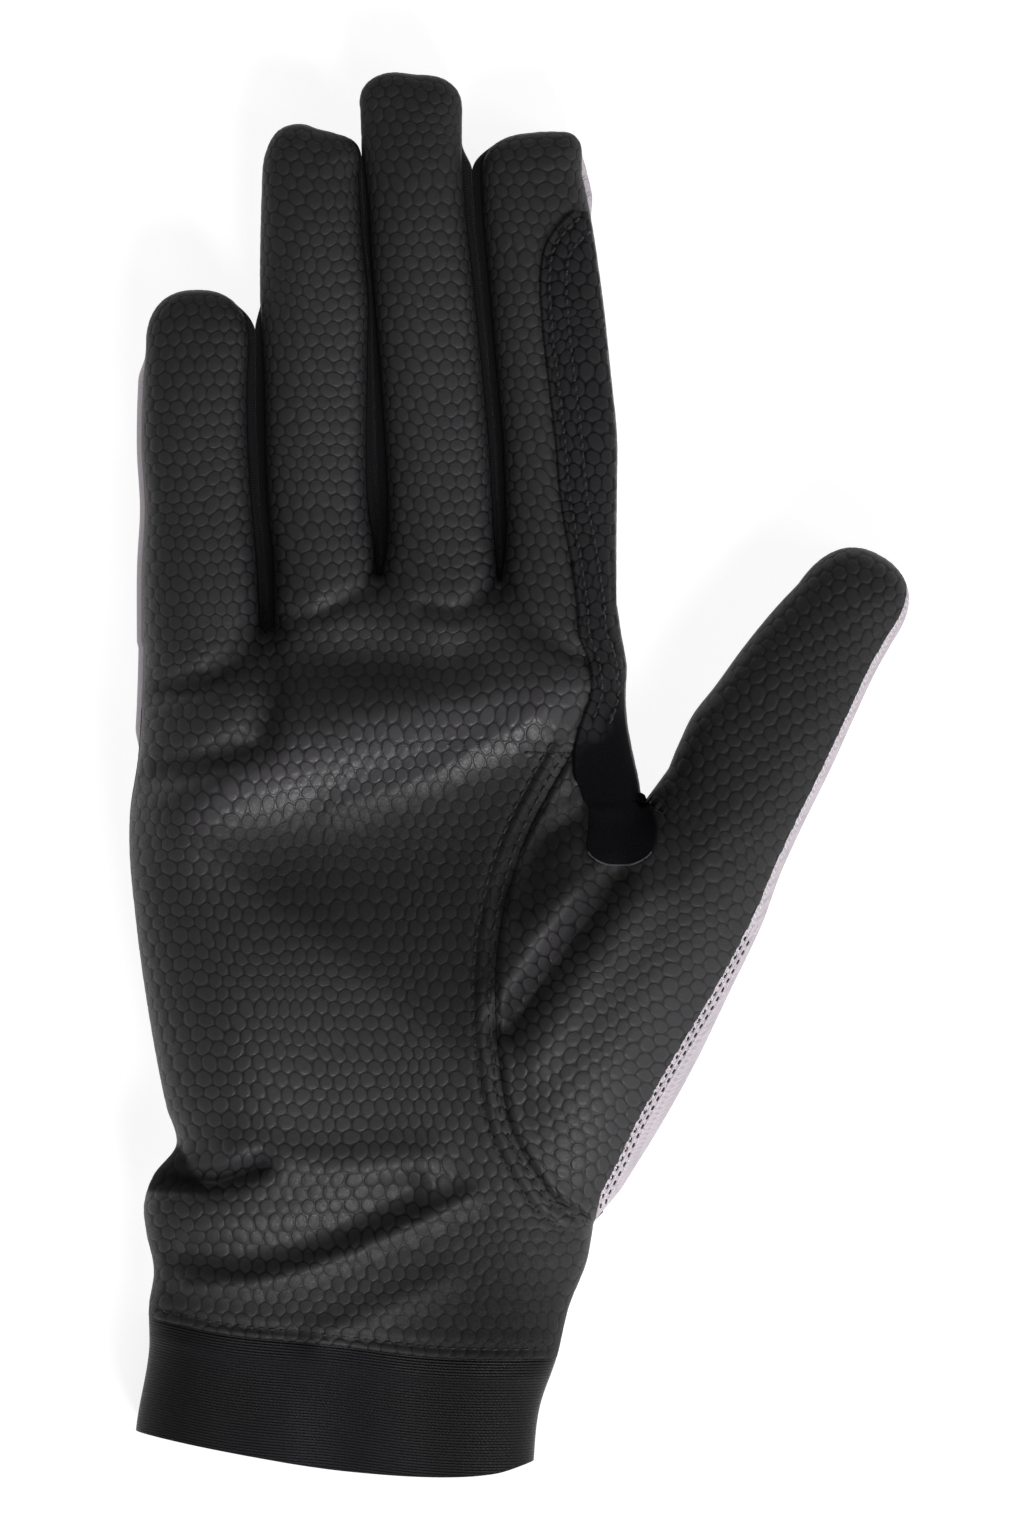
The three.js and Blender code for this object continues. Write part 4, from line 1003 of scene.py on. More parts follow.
def scale_group():
    """Embossed scales: height, groove mask for painted shade, painted highlight on the lower rim and a value
    of its own for each scale
    """
    tree, entry, leave = new_group(
        "Embossed scales",
        [("Vector", "NodeSocketVector", None), ("Groove Width", "NodeSocketFloat", 0.1)],
        [("Height", "NodeSocketFloat"), ("Groove", "NodeSocketFloat"), ("Tone", "NodeSocketFloat"),
         ("Rim", "NodeSocketFloat")])
    if entry is None:
        return tree
    split = add_node(tree, "ShaderNodeSeparateXYZ", (-1000, 0), {0: entry.outputs["Vector"]})
    parts = []
    for number, (dx, dy) in enumerate(SCALE_OFFSETS):
        high = 300 - 500 * number
        x, cell_x = place_in_cell(tree, split.outputs[0], dx, 1.0, high)
        y, cell_y = place_in_cell(tree, split.outputs[1], dy, 2 * SCALE_ROW, high - 200)
        across = math_node(tree, "MULTIPLY", x, x, (-300, high - 90))
        squares = add_node(tree, "ShaderNodeMath", (-220, high), {0: y, 1: y, 2: across},
                           operation="MULTIPLY_ADD").outputs[0]
        number_x = math_node(tree, "ADD", cell_x, 0.37 * number, (-300, high - 260))
        identity = add_node(tree, "ShaderNodeCombineXYZ", (-220, high - 260),
                            {0: number_x, 1: cell_y, 2: 7.0 * number})
        parts.append((x, y, squares, identity.outputs[0]))
    nearer = math_node(tree, "LESS_THAN", parts[1][2], parts[0][2], (-40, 0))
    x = mix_value(tree, nearer, parts[0][0], parts[1][0], (120, 200))
    y = mix_value(tree, nearer, parts[0][1], parts[1][1], (120, 40))
    which = add_node(tree, "ShaderNodeMix", (120, -200), {0: nearer, 4: parts[0][3], 5: parts[1][3]},
                     data_type="VECTOR")
    half = math_node(tree, "MULTIPLY", x, 0.5, (280, 200))
    slope = math_node(tree, "MULTIPLY", y, SCALE_ROW, (280, 100))
    total = None
    for value in (x, math_node(tree, "ADD", half, slope, (400, 200)),
                  math_node(tree, "SUBTRACT", half, slope, (400, 100))):
        away = math_node(tree, "ABSOLUTE", value, None, (480, 0))
        power = math_node(tree, "POWER", away, ROUNDNESS, (520, 0))
        total = power if total is None else math_node(tree, "ADD", total, power, (560, 0))
    away = math_node(tree, "POWER", total, 1 / ROUNDNESS, (640, 0))
    inside = math_node(tree, "SUBTRACT", 0.5, entry.outputs["Groove Width"], (560, -200))
    groove = remap(tree, away, inside, 0.5, 0.0, 1.0, (720, 60))
    height = math_node(tree, "SUBTRACT", 1.0, groove, (780, 160))
    # The groove's painted shade made stronger on the upper arc of each scale
    upper = remap(tree, y, -0.35, 0.25, 0.55, 1.0, (700, 300))
    groove = math_node(tree, "MULTIPLY", groove, upper, (800, 300))
    tone = add_node(tree, "ShaderNodeTexWhiteNoise", (400, -300), {0: which.outputs[1]},
                    noise_dimensions="3D")
    # Painted highlight along the lower rim of each scale
    rim = remap(tree, away, 0.3, 0.47, 0.0, 1.0, (700, -120))
    lower = math_node(tree, "MULTIPLY", y, -2.2, (640, -260), clamp=True)
    rim = math_node(tree, "MULTIPLY", rim, lower, (780, -120))
    feed(tree, leave, {"Height": height, "Groove": groove, "Tone": tone.outputs[0], "Rim": rim})
    return tree


def grain_group():
    """Fine grain: speckle and small pits at a named size"""
    tree, entry, leave = new_group(
        "Fine grain",
        [("Vector", "NodeSocketVector", None), ("Scale", "NodeSocketFloat", 1500.0),
         ("Pits", "NodeSocketFloat", 0.5)],
        [("Height", "NodeSocketFloat"), ("Speckle", "NodeSocketFloat"), ("Cloud", "NodeSocketFloat")])
    if entry is None:
        return tree
    vector = entry.outputs["Vector"]
    scale = entry.outputs["Scale"]
    fine = add_node(tree, "ShaderNodeTexNoise", (-800, 200),
                    {"Vector": vector, "Scale": scale, "Detail": 3.0})
    wider = math_node(tree, "MULTIPLY", scale, 0.7, (-950, -150))
    pits = add_node(tree, "ShaderNodeTexVoronoi", (-800, -100), {"Vector": vector, "Scale": wider},
                    feature="DISTANCE_TO_EDGE")
    broad = math_node(tree, "MULTIPLY", scale, 0.035, (-950, -450))
    cloud = add_node(tree, "ShaderNodeTexNoise", (-800, -400),
                     {"Vector": vector, "Scale": broad, "Detail": 4.0})
    pitted = remap(tree, pits.outputs[0], 0.0, 0.25, 0.0, 1.0, (-600, -100))
    pitted = math_node(tree, "MULTIPLY", pitted, entry.outputs["Pits"], (-400, -100))
    height = math_node(tree, "ADD", fine.outputs[0], pitted, (-200, 100))
    speckle = remap(tree, fine.outputs[0], 0.3, 0.7, 0.0, 1.0, (-400, 200))
    clouds = remap(tree, cloud.outputs[0], 0.3, 0.7, 0.0, 1.0, (-400, -400))
    feed(tree, leave, {"Height": height, "Speckle": speckle, "Cloud": clouds})
    return tree


def knit_group():
    """Knit: rows of small loops, from coordinates in millimetres"""
    tree, entry, leave = new_group(
        "Knit loops",
        [("Vector", "NodeSocketVector", None), ("Rows", "NodeSocketFloat", 2.0),
         ("Loops", "NodeSocketFloat", 2.0), ("Rib", "NodeSocketFloat", 0.5)],
        [("Height", "NodeSocketFloat"), ("Holes", "NodeSocketFloat")])
    if entry is None:
        return tree
    split = add_node(tree, "ShaderNodeSeparateXYZ", (-1000, 0), {0: entry.outputs["Vector"]})
    waves = []
    for number, (axis, rate) in enumerate(((0, "Loops"), (1, "Rows"))):
        at = math_node(tree, "MULTIPLY", split.outputs[axis], entry.outputs[rate], (-800, -200 * number))
        turned = math_node(tree, "MULTIPLY", at, 2 * math.pi, (-640, -200 * number))
        waves.append((turned, math_node(tree, "SINE", turned, None, (-480, -200 * number))))
    half = math_node(tree, "MULTIPLY", waves[1][0], 0.5, (-480, -420))
    sway = math_node(tree, "SINE", half, None, (-400, -420))
    shifted = math_node(tree, "ADD", waves[0][0], sway, (-320, 0))
    loop = math_node(tree, "SINE", shifted, None, (-200, 0))
    rib = math_node(tree, "MULTIPLY", waves[1][1], entry.outputs["Rib"], (-200, -200))
    rest = math_node(tree, "SUBTRACT", 1.0, entry.outputs["Rib"], (-200, -320))
    body = math_node(tree, "MULTIPLY", loop, waves[1][1], (-60, 0))
    body = math_node(tree, "MULTIPLY", body, rest, (60, 0))
    height = math_node(tree, "ADD", rib, body, (200, 0))
    holes = remap(tree, height, -0.9, -0.2, 1.0, 0.0, (360, -100))
    feed(tree, leave, {"Height": height, "Holes": holes})
    return tree


def add_group(tree, group, place, inputs):
    return add_node(tree, "ShaderNodeGroup", place, inputs, node_tree=group)


def add_grain(tree, scale, pits):
    """Fine grain placed by the piece's own coordinates"""
    body = add_node(tree, "ShaderNodeTexCoord", (-1500, -200)).outputs["Object"]
    return add_group(tree, grain_group(), (-1250, -200), {"Vector": body, "Scale": scale, "Pits": pits})


def add_map(tree, name):
    return add_node(tree, "ShaderNodeUVMap", (-1500, 200), uv_map=name).outputs[0]


def add_mask(tree, name, place):
    return add_node(tree, "ShaderNodeAttribute", place, attribute_name=name).outputs["Fac"]


def with_painted_shading(tree, colour, tone, place):
    """The colour made darker or lighter by the painted light and shade that the surface carries"""
    power = math_node(tree, "MULTIPLY", tone, TONE_POWER, (-1300, 800))
    strength = math_node(tree, "EXPONENT", power, None, (-1150, 800))
    return mix_colour(tree, 1.0, colour, strength, place, "MULTIPLY")


def new_material(name, **constants):
    material = bpy.data.materials.new(name)
    material.use_nodes = True
    tree = material.node_tree
    shader = tree.nodes["Principled BSDF"]
    for key, value in constants.items():
        shader.inputs[key.replace("_", " ")].default_value = value
    return material, tree, shader


def tint(colour, factor=1.0):
    """The colour with its alpha, made darker or lighter by a factor"""
    return tuple(min(1.0, part * factor) for part in colour) + (1.0,)


def leather_material(name, shine=0.4):
    """Embossed leather, darker or lighter by its painted light and shade, and fading to the nap where it is
    worn
    """
    if name in bpy.data.materials:
        return bpy.data.materials[name]
    colours = bpy.context.scene.glove_colours
    leather = colours.leather
    material, tree, shader = new_material(name, Specular_IOR_Level=shine)
    # The tone attribute carries painted light and shade
    tone = add_mask(tree, "tone", (-1500, 700))
    worn = add_mask(tree, "suede", (-900, 900))
    scales = add_group(tree, scale_group(), (-1250, 200),
                       {"Vector": add_map(tree, "scales"), "Groove Width": 0.11})
    grain = add_grain(tree, LEATHER_GRAIN, 0.35)
    top = mix_colour(tree, scales.outputs["Tone"], tint(leather, 0.84), tint(leather, 1.14), (-950, 500))
    # Grain cloud and speckle are the leather's own; the rim lightening is a painted highlight
    for number, (node, name, amount, lighter) in enumerate((
            (grain, "Cloud", 0.6, 1.15), (grain, "Speckle", 0.35, 1.4), (scales, "Rim", 0.2, 2.4))):
        share = math_node(tree, "MULTIPLY", node.outputs[name], amount, (-950 + 160 * number, 600))
        top = mix_colour(tree, share, top, tint(leather, lighter), (-780 + 160 * number, 450))
    # Grooves drawn dark as painted shade, most on the upper arcs of the scales
    colour = mix_colour(tree, scales.outputs["Groove"], top, tint(colours.groove), (-300, 380))
    colour = with_painted_shading(tree, colour, tone, (-200, 500))
    nap = mix_colour(tree, grain.outputs["Speckle"], tint(colours.suede), tint(colours.suede, 2), (-300, 620))
    colour = mix_colour(tree, worn, colour, nap, (-60, 400))
    rough = remap(tree, grain.outputs["Speckle"], 0.0, 1.0, 0.47, 0.6, (-500, 0))
    duller = math_node(tree, "MULTIPLY", tone, -0.3, (-500, 120))
    rough = math_node(tree, "ADD", rough, duller, (-380, 60), clamp=True)
    rough = mix_value(tree, worn, rough, 0.95, (-250, 0))
    kept = math_node(tree, "SUBTRACT", 1.0, worn, (-800, -200))
    relief = math_node(tree, "MULTIPLY", scales.outputs["Height"], kept, (-700, -100))
    normal = add_bump(tree, (-300, -250), 0.5, 0.00013, relief)
    normal = add_bump(tree, (-120, -250), 0.35, 0.00005, grain.outputs["Height"], normal)
    feed(tree, shader, {"Base Color": colour, "Roughness": rough, "Normal": normal})
    return material


def knit_material(name):
    """Knitted fabric, its coordinates in millimetres in the piece's own map"""
    if name in bpy.data.materials:
        return bpy.data.materials[name]
    form = KNITS[name]
    colour = getattr(bpy.context.scene.glove_colours, form["colour"])
    material, tree, shader = new_material(name, Specular_IOR_Level=0.25, Sheen_Weight=form["sheen"],
                                          Sheen_Roughness=0.45)
    knit = add_group(tree, knit_group(), (-1250, 200),
                     {"Vector": add_map(tree, "knit"), "Rows": form["rows"], "Loops": form["loops"],
                      "Rib": form["rib"]})
    grain = add_grain(tree, KNIT_GRAIN, 0.2)
    base = mix_colour(tree, grain.outputs["Speckle"], tint(colour), tint(colour, form["light"]), (-900, 300))
    cloud = math_node(tree, "MULTIPLY", grain.outputs["Cloud"], 0.3, (-900, 100))
    base = mix_colour(tree, cloud, base, tint(colour, 0.86), (-700, 300))
    base = mix_colour(tree, knit.outputs["Holes"], base, tint(colour, form["dark"]), (-500, 300))
    # Painted light and shade from the tone attribute, where a piece carries one
    base = with_painted_shading(tree, base, add_mask(tree, "tone", (-1500, 700)), (-350, 400))
    low, high = form["rough"] - 0.06, form["rough"] + 0.05
    rough = remap(tree, grain.outputs["Speckle"], 0.0, 1.0, low, high, (-500, 0))
    normal = add_bump(tree, (-500, -250), 0.7, form["depth"], knit.outputs["Height"])
    normal = add_bump(tree, (-300, -250), 0.3, 0.00004, grain.outputs["Height"], normal)
    feed(tree, shader, {"Base Color": base, "Roughness": rough, "Normal": normal})
    return material


def thread_material(name, colour):
    """Twisted sewing thread"""
    if name in bpy.data.materials:
        return bpy.data.materials[name]
    material, tree, shader = new_material(name, Specular_IOR_Level=0.4, Sheen_Weight=0.15,
                                          Sheen_Roughness=0.4)
    grain = add_grain(tree, THREAD_GRAIN, 0.1)
    base = mix_colour(tree, grain.outputs["Speckle"], tint(colour, 0.7), tint(colour, 1.5), (-600, 200))
    rough = remap(tree, grain.outputs["Speckle"], 0.0, 1.0, 0.5, 0.7, (-600, 0))
    normal = add_bump(tree, (-300, -200), 0.4, 0.00004, grain.outputs["Height"])
    feed(tree, shader, {"Base Color": base, "Roughness": rough, "Normal": normal})
    return material


# Pieces: lengths in millimetres, places along the palm as shares of its length

THUMB_ROWS = (1.0, 3.7)
PATCH_ROWS = (1.3, 4.1)
STITCHED = 160
CUFF_ROW = 1.7
SEAM_FORM = (
    {"name": "sunk seam", "inset": 0, "width": 0.55, "height": -0.75},
    {"name": "inner stitches", "inset": THUMB_ROWS[0], "width": 0.5, "height": -0.28},
    {"name": "roll between the rows", "inset": 2.35, "width": 0.75, "height": 0.4},
    {"name": "outer stitches", "inset": THUMB_ROWS[1], "width": 0.5, "height": -0.32},
    {"name": "roll on the palm", "inset": -1.4, "width": 0.9, "height": 0.28},
)
CUFF_FORM = (
    {"name": "turned edge", "over": 0.55, "width": 0.5, "height": 0.42},
    {"name": "stitches", "over": CUFF_ROW, "width": 0.5, "height": -0.45},
    {"name": "roll above the stitches", "over": 3.2, "width": 1.2, "height": 0.25},
)
PALE_EDGES = (
    {"stretch": "outer_edge", "digit": 0, "side": -1, "low": 97, "top": 165, "swell": 1.1},
    {"stretch": "index_edge", "digit": 3, "side": 1, "low": 186.5, "top": 199, "swell": 1.1},
)
PATCH_LIFT = {
    "along": (0.647, 0.672, 0.7, 0.722, 0.735, 0.77, 0.81),
    "lift": (1.4, 1.5, 1.9, 2.4, 1.6, 0.7, 0.45),
}
PATCH_INSET = (-0.35, 0.0)
TAPE = {"half": 2.4, "depth": 1.5}
PLUG = {"half": 2.2, "below": 2.5, "above": 3.5, "depth": 1.0}
LEATHER_SEEDS = {"palm": 11, "thumb": 37, "patch": 71}
WALLS = {"back": 0.8, "patch": 0.75, "sides": 0.6, "cuff": 1.5}
LEFT_WALL = {"end": 0.88, "slant": (0.69, 0.87), "lip": 0.3, "inset": 0.1, "inset_over": (0.71, 0.74)}
STITCHES = {
    "thumb": {"spacing": 1.0, "length": 0.7, "radius": 0.24, "lift": -0.06},
    "patch": {"spacing": 0.72, "length": 0.52, "radius": 0.26, "lift": -0.02},
    "cuff": {"spacing": 0.8, "length": 0.6, "radius": 0.22, "lift": -0.2},
}
SLOT_ROWS = ({"inset": -0.45, "late": 0.0}, {"inset": -1.25, "late": 0.5})
CHAIN_ROWS = (-0.02, -0.85, -1.6)


def seam_path():
    """Plan path of the seam between the palm and the thumb"""
    form = glove_form()
    rows = np.linspace(form.seam_start, form.seam_end, 90)
    return np.concatenate((form.right_point(THUMB_SEAM, rows), form.crotch[None]))


def ridge(distance, width, height):
    return height * np.exp(-(distance / width) ** 2)


def seam_relief(points):
    """Height that sewing adds: the sunk seams and stitch rows, and the rolls between them"""
    form = glove_form()
    flat = points[:, :2]
    height = np.zeros(len(points))
    seam = seam_path()
    near = np.flatnonzero(path_distance(flat, seam[::6]) < 9)
    place = flat[near]
    added = 0
    for row in SEAM_FORM:
        path = offset_path(seam[:-1] if row["inset"] > 0 else seam, row["inset"])
        added = added + ridge(path_distance(place, path), row["width"], row["height"])
    height[near] += added
    edge = form.cuff_seam()
    over = flat[:, 1] - np.interp(flat[:, 0], edge[:, 0], edge[:, 1])
    height += sum(ridge(over - row["over"], row["width"], row["height"]) for row in CUFF_FORM)
    left = patch_rows(form)[0]
    near = np.flatnonzero(path_distance(flat, left[::5]) < 4)
    height[near] += ridge(path_distance(flat[near], left), 1.1, -0.22)
    return height


def leather_piece(name, sheet, seed, turn, node):
    """Embosses a sheet, turns its edges in and puts it in place of its node"""
    form = glove_form()
    points, faces = sheet.welded()
    normals = point_normals(points, faces)
    place = scale_coordinates(points, normals, turn, seed)
    rise = bpy.context.scene.glove_sizes.scale_rise / MM
    flat = smoothstep(form.edge_distance(points[:, :2]), 0.1, 2.2)
    points = points + normals * (scale_relief(place) * rise * mix(0.2, 1, flat))[:, None]
    points[:, 2] += seam_relief(points) * flat
    points, faces, source = turn_edges(points, faces, normals, form.wall)
    # The tone attribute carries the painted light and shade of each place
    piece = make_object(name, points, faces, leather_material("Embossed leather"),
                        {"scales": place[source]}, {"tone": painted_shading_at(points)})
    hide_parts(node)


def wall_grid(stretch, low, high, rows=5):
    """Upright wall along a stretch; its lower edge may rise along the way"""
    share = np.linspace(0, 1, rows)[:, None]
    grid = np.empty((rows, len(stretch), 3))
    grid[:, :, :2] = stretch[None]
    grid[:, :, 2] = mix(np.broadcast_to(low, len(stretch))[None], high, share)
    return grid


def swollen_wall(stretch, low, high, swell, rows=11, ledge=False):
    """Side wall that stands out by swell at mid height, or up to a ledge near its top"""
    grid = wall_grid(stretch, low, high, rows)
    share = np.linspace(0, 1, rows)
    profile = np.sin(np.pi * share) ** 0.6
    if ledge:
        profile = np.minimum(1, 2.5 * share) * (1 - share ** 3)
    bulge = profile[:, None] * swell[None, :]
    grid[:, :, :2] += bulge[:, :, None] * left_of(stretch)[None]
    return grid


class GLOVE_OT_palm(bpy.types.Operator):
    """Palm and finger fronts of scale-embossed leather"""

    bl_idname = "glove.palm"
    bl_label = "Palm panel"

    def execute(self, context):
        form = glove_form()
        palm, fingers, along = form.hand_grids(FRONT_COLUMNS, FRONT_STEP)
        sheet = Sheet()
        sheet.add(form.on_front(palm))
        for grid in fingers:
            sheet.add(form.on_front(grid))
        low = BACK_RISE + SEAM_GAP
        wrap = int(np.argmax(along > LEFT_WALL["end"])) + 1
        inset = (LEFT_WALL["inset"], 0) * smoothstep(along[:wrap, None], *LEFT_WALL["inset_over"])
        lift = (form.side_top - LEFT_WALL["lip"] - low) * smoothstep(along[:wrap], *LEFT_WALL["slant"])
        sheet.add(wall_grid(palm[:wrap, 0] - inset, low + lift, form.side_top), True)
        rows, right = form.palm_rows(FRONT_STEP)
        wrist = right[rows < form.seam_start + 1e-9]
        sheet.add(wall_grid(wrist, low, form.side_top), False)
        leather_piece("palm_leather", sheet, LEATHER_SEEDS["palm"], 0, "palm_panel")
        return {"FINISHED"}


class GLOVE_OT_thumb(bpy.types.Operator):
    """Front of the thumb and the ball of the thumb in the same leather"""

    bl_idname = "glove.thumb"
    bl_label = "Thumb panel"

    def execute(self, context):
        form = glove_form()
        grid = form.thumb_grid(spread(THUMB_COLUMNS, 0.35), FRONT_STEP)
        sheet = Sheet()
        sheet.add(form.on_front(grid))
        turn = -context.scene.glove_sizes.thumb_tilt * 0.85
        leather_piece("thumb_leather", sheet, LEATHER_SEEDS["thumb"], turn, "thumb_panel")
        return {"FINISHED"}


class GLOVE_OT_back(bpy.types.Operator):
    """Pale stretch fabric of the back of the hand and of the thumb"""

    bl_idname = "glove.back"
    bl_label = "Back and thumb back"

    def execute(self, context):
        form = glove_form()
        palm, fingers, _ = form.hand_grids(22, 0.9, back=True)
        sheet = Sheet()
        sheet.add(form.on_back(palm), True)
        for grid in fingers:
            sheet.add(form.on_back(grid), True)
        high = form.side_top - SEAM_GAP * 0.3
        for edge in PALE_EDGES:
            stretch = form.stretches[edge["stretch"]]
            low, top = edge["low"], edge["top"]
            window = smoothstep(stretch[:, 1], low, low + 5) * smoothstep(stretch[:, 1], top, top - 5)
            window = window * (edge["side"] * (stretch[:, 0] - form.digit_centre(edge["digit"])) > 0)
            sheet.add(swollen_wall(stretch, BACK_RISE, high, window * edge["swell"], 15, True), True)
        self.fabric_piece("back_fabric", sheet, "back_panel")
        sheet = Sheet()
        sheet.add(form.on_back(form.thumb_grid(spread(30, 0.5), 0.8, underside=True)), True)
        sheet.add(form.on_back(form.thumb_grid(None, 0.8, underside=True, strip=np.linspace(0, 1, 9))), True)
        sheet.add(form.on_front(form.thumb_grid(None, 0.8, strip=np.linspace(0, 1, 13))), False)
        for name in ("thumb_free", "thumb_edge"):
            sheet.add(wall_grid(form.stretches[name], BACK_RISE, form.side_top), True)
        self.fabric_piece("thumb_fabric", sheet, "thumb_back")
        return {"FINISHED"}

    def fabric_piece(self, name, sheet, node):
        points, faces = sheet.welded()
        normals = point_normals(points, faces)
        knit = points[:, :2] + points[:, 2:] * (0.7, 0.7)
        points, faces, source = turn_edges(points, faces, normals, glove_form().wall * WALLS["back"])
        piece = make_object(name, points, faces, knit_material("Stretch fabric"), {"knit": knit[source]})
        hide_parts(node)


def patch_rows(form):
    """Left and right ends of the rows from the fingertip down to the tab, and their lift"""
    along = np.linspace(0.83, 0.1, 120)
    palm = np.linspace(1, 0.735, 70)
    tab = np.linspace(0.73, 0.647, 24)
    left = np.concatenate((
        form.digit_points(3, along, read_table(PATCH_ON_INDEX, "edge", along)),
        form.side_point(PATCH_ON_PALM, "left", palm),
        form.side_point(PATCH_TAB, "left", tab)))
    right = np.concatenate((
        form.digit_points(3, along, np.ones_like(along)) + PATCH_INSET,
        form.right_point(INDEX_SIDE, palm) + PATCH_INSET,
        form.right_point(PATCH_TAB, tab)))
    lift = np.interp(right[:, 1] / form.palm, PATCH_LIFT["along"], PATCH_LIFT["lift"])
    return left, right, lift


class GLOVE_OT_patch(bpy.types.Operator):
    """Second layer over the index finger, ending in a loose tab at the crotch of the thumb"""

    bl_idname = "glove.patch"
    bl_label = "Index reinforcement"

    def execute(self, context):
        form = glove_form()
        rows = patch_rows(form)
        shares = spread(36, 0.3)
        plan = mix(rows[0][:, None], rows[1][:, None], shares[None, :, None])
        surface = form.on_front(plan)
        lift = rows[2][:, None] * np.ones((1, len(shares)))
        edge = np.minimum(1, np.linalg.norm(plan - plan[:, :1], axis=2) / 1.1)
        surface[..., 2] += lift + 0.35 * (1 - edge) ** 2 * (lift < 1)
        sheet = Sheet()
        sheet.add(surface, True)
        points, faces = sheet.welded()
        normals = point_normals(points, faces)
        place = scale_coordinates(points, normals, 0, LEATHER_SEEDS["patch"])
        suede = self.worn(form, points)
        rise = context.scene.glove_sizes.scale_rise / MM
        points = points + normals * (scale_relief(place) * rise * (1 - suede))[:, None]
        for inset in PATCH_ROWS:
            away = path_distance(points[:, :2], offset_path(rows[0][:STITCHED], inset))
            points[:, 2] += ridge(away, 0.5, -0.3)
        points, faces, source = turn_edges(points, faces, normals, WALLS["patch"])
        # The patch carries the painted light and shade, drawn 0.12 darker over all
        masks = {"suede": suede[source], "tone": painted_shading_at(points) - 0.12}
        piece = make_object("index_patch", points, faces, leather_material("Reinforcement leather", 0.1),
                            {"scales": place[source]}, masks)
        left, right, lift = rows
        lower = left[:, 1] < 0.668 * form.palm
        across = np.linspace(0, 1, 14)[1:-1, None]
        line = np.concatenate((left[lower], mix(left[-1], right[-1], across), right[lower][::-1]))
        height = np.concatenate((lift[lower], np.full(12, lift[-1]), lift[lower][::-1]))
        line = np.concatenate((line, height[:, None]), 1)
        for _ in range(3):
            line[1:-1] = (line[:-2] + 2 * line[1:-1] + line[2:]) / 4
        points, faces = self.cord(form, line)
        cut = thread_material("Cut edge", context.scene.glove_colours.cut_edge)
        edge = make_object("tab_edge", points, faces, cut)
        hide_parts("index_reinforcement")
        return {"FINISHED"}

    def worn(self, form, points):
        """How far the scales are worn to the nap: wholly at the tab, with a ragged upper border"""
        start = mix(0.8, 0.85, smoothstep(points[:, 0] / form.width, 0.4, 0.5))
        ragged = smooth_noise(points[:, :2], 1.7, 90) * 0.014 + smooth_noise(points[:, :2], 4.0, 91) * 0.012
        return smoothstep(points[:, 1] / form.palm + ragged, start + 0.05, start - 0.015)

    def cord(self, form, line):
        """Thin cord along the tab's edge"""
        sides = 8
        around = np.linspace(0, 2 * np.pi, sides, endpoint=False)
        side = left_of(line[:, :2])
        height = form.front_height(line[:, :2]) + line[:, 2] - 0.1
        points = np.empty((len(line), sides + 1, 3))
        turn = np.append(around, around[0])
        points[..., :2] = line[:, None, :2] + side[:, None] * (0.16 * np.cos(turn))[None, :, None]
        points[..., 2] = height[:, None] + 0.16 * np.sin(turn)[None]
        sheet = Sheet()
        sheet.add(points)
        return sheet.welded()


class GLOVE_OT_sides(bpy.types.Operator):
    """Dark strips that fill the gaps between the fingers"""

    bl_idname = "glove.sides"
    bl_label = "Finger sides"

    def execute(self, context):
        form = glove_form()
        material = knit_material("Side fabric")
        _, fingers, _ = form.hand_grids(18, 0.8)
        names = ("fourchette_pinky_ring", "fourchette_ring_middle", "fourchette_middle_index")
        for index, node in enumerate(names, start=1):
            stretch = form.stretches[f"gap{index}"]
            before = fingers[index - 1][:, -1]
            after = fingers[index][:, 0]
            half = self.half_gap(stretch, before, after)
            grid = swollen_wall(stretch, BACK_RISE - 0.3, form.side_top - 0.1, half)
            sheet = Sheet()
            sheet.add(grid, True)
            points, faces = sheet.welded()
            normals = point_normals(points, faces)
            knit = np.stack((points[:, 1], points[:, 2] + points[:, 0] * 0.3), 1)
            points, faces, source = turn_edges(points, faces, normals, WALLS["sides"])
            piece = make_object(node.replace("fourchette", "side"), points, faces, material,
                                {"knit": knit[source]})
            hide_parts(node)
        return {"FINISHED"}

    def half_gap(self, stretch, before, after):
        """Half of the gap's width beside each point, zero past the shorter finger's tip"""
        x_before = np.interp(stretch[:, 1], before[:, 1], before[:, 0])
        x_after = np.interp(stretch[:, 1], after[:, 1], after[:, 0])
        top = min(before[-1, 1], after[-1, 1])
        width = np.clip(x_after - x_before, 0, 3.4)
        fade = smoothstep(stretch[:, 1], top + 0.5, top - 5)
        crotch = smoothstep(stretch[:, 1], stretch[:, 1].min() + 3.5, stretch[:, 1].min() + 1)
        return np.maximum((width * 0.5 + 0.08) * fade, 1.1 * crotch)


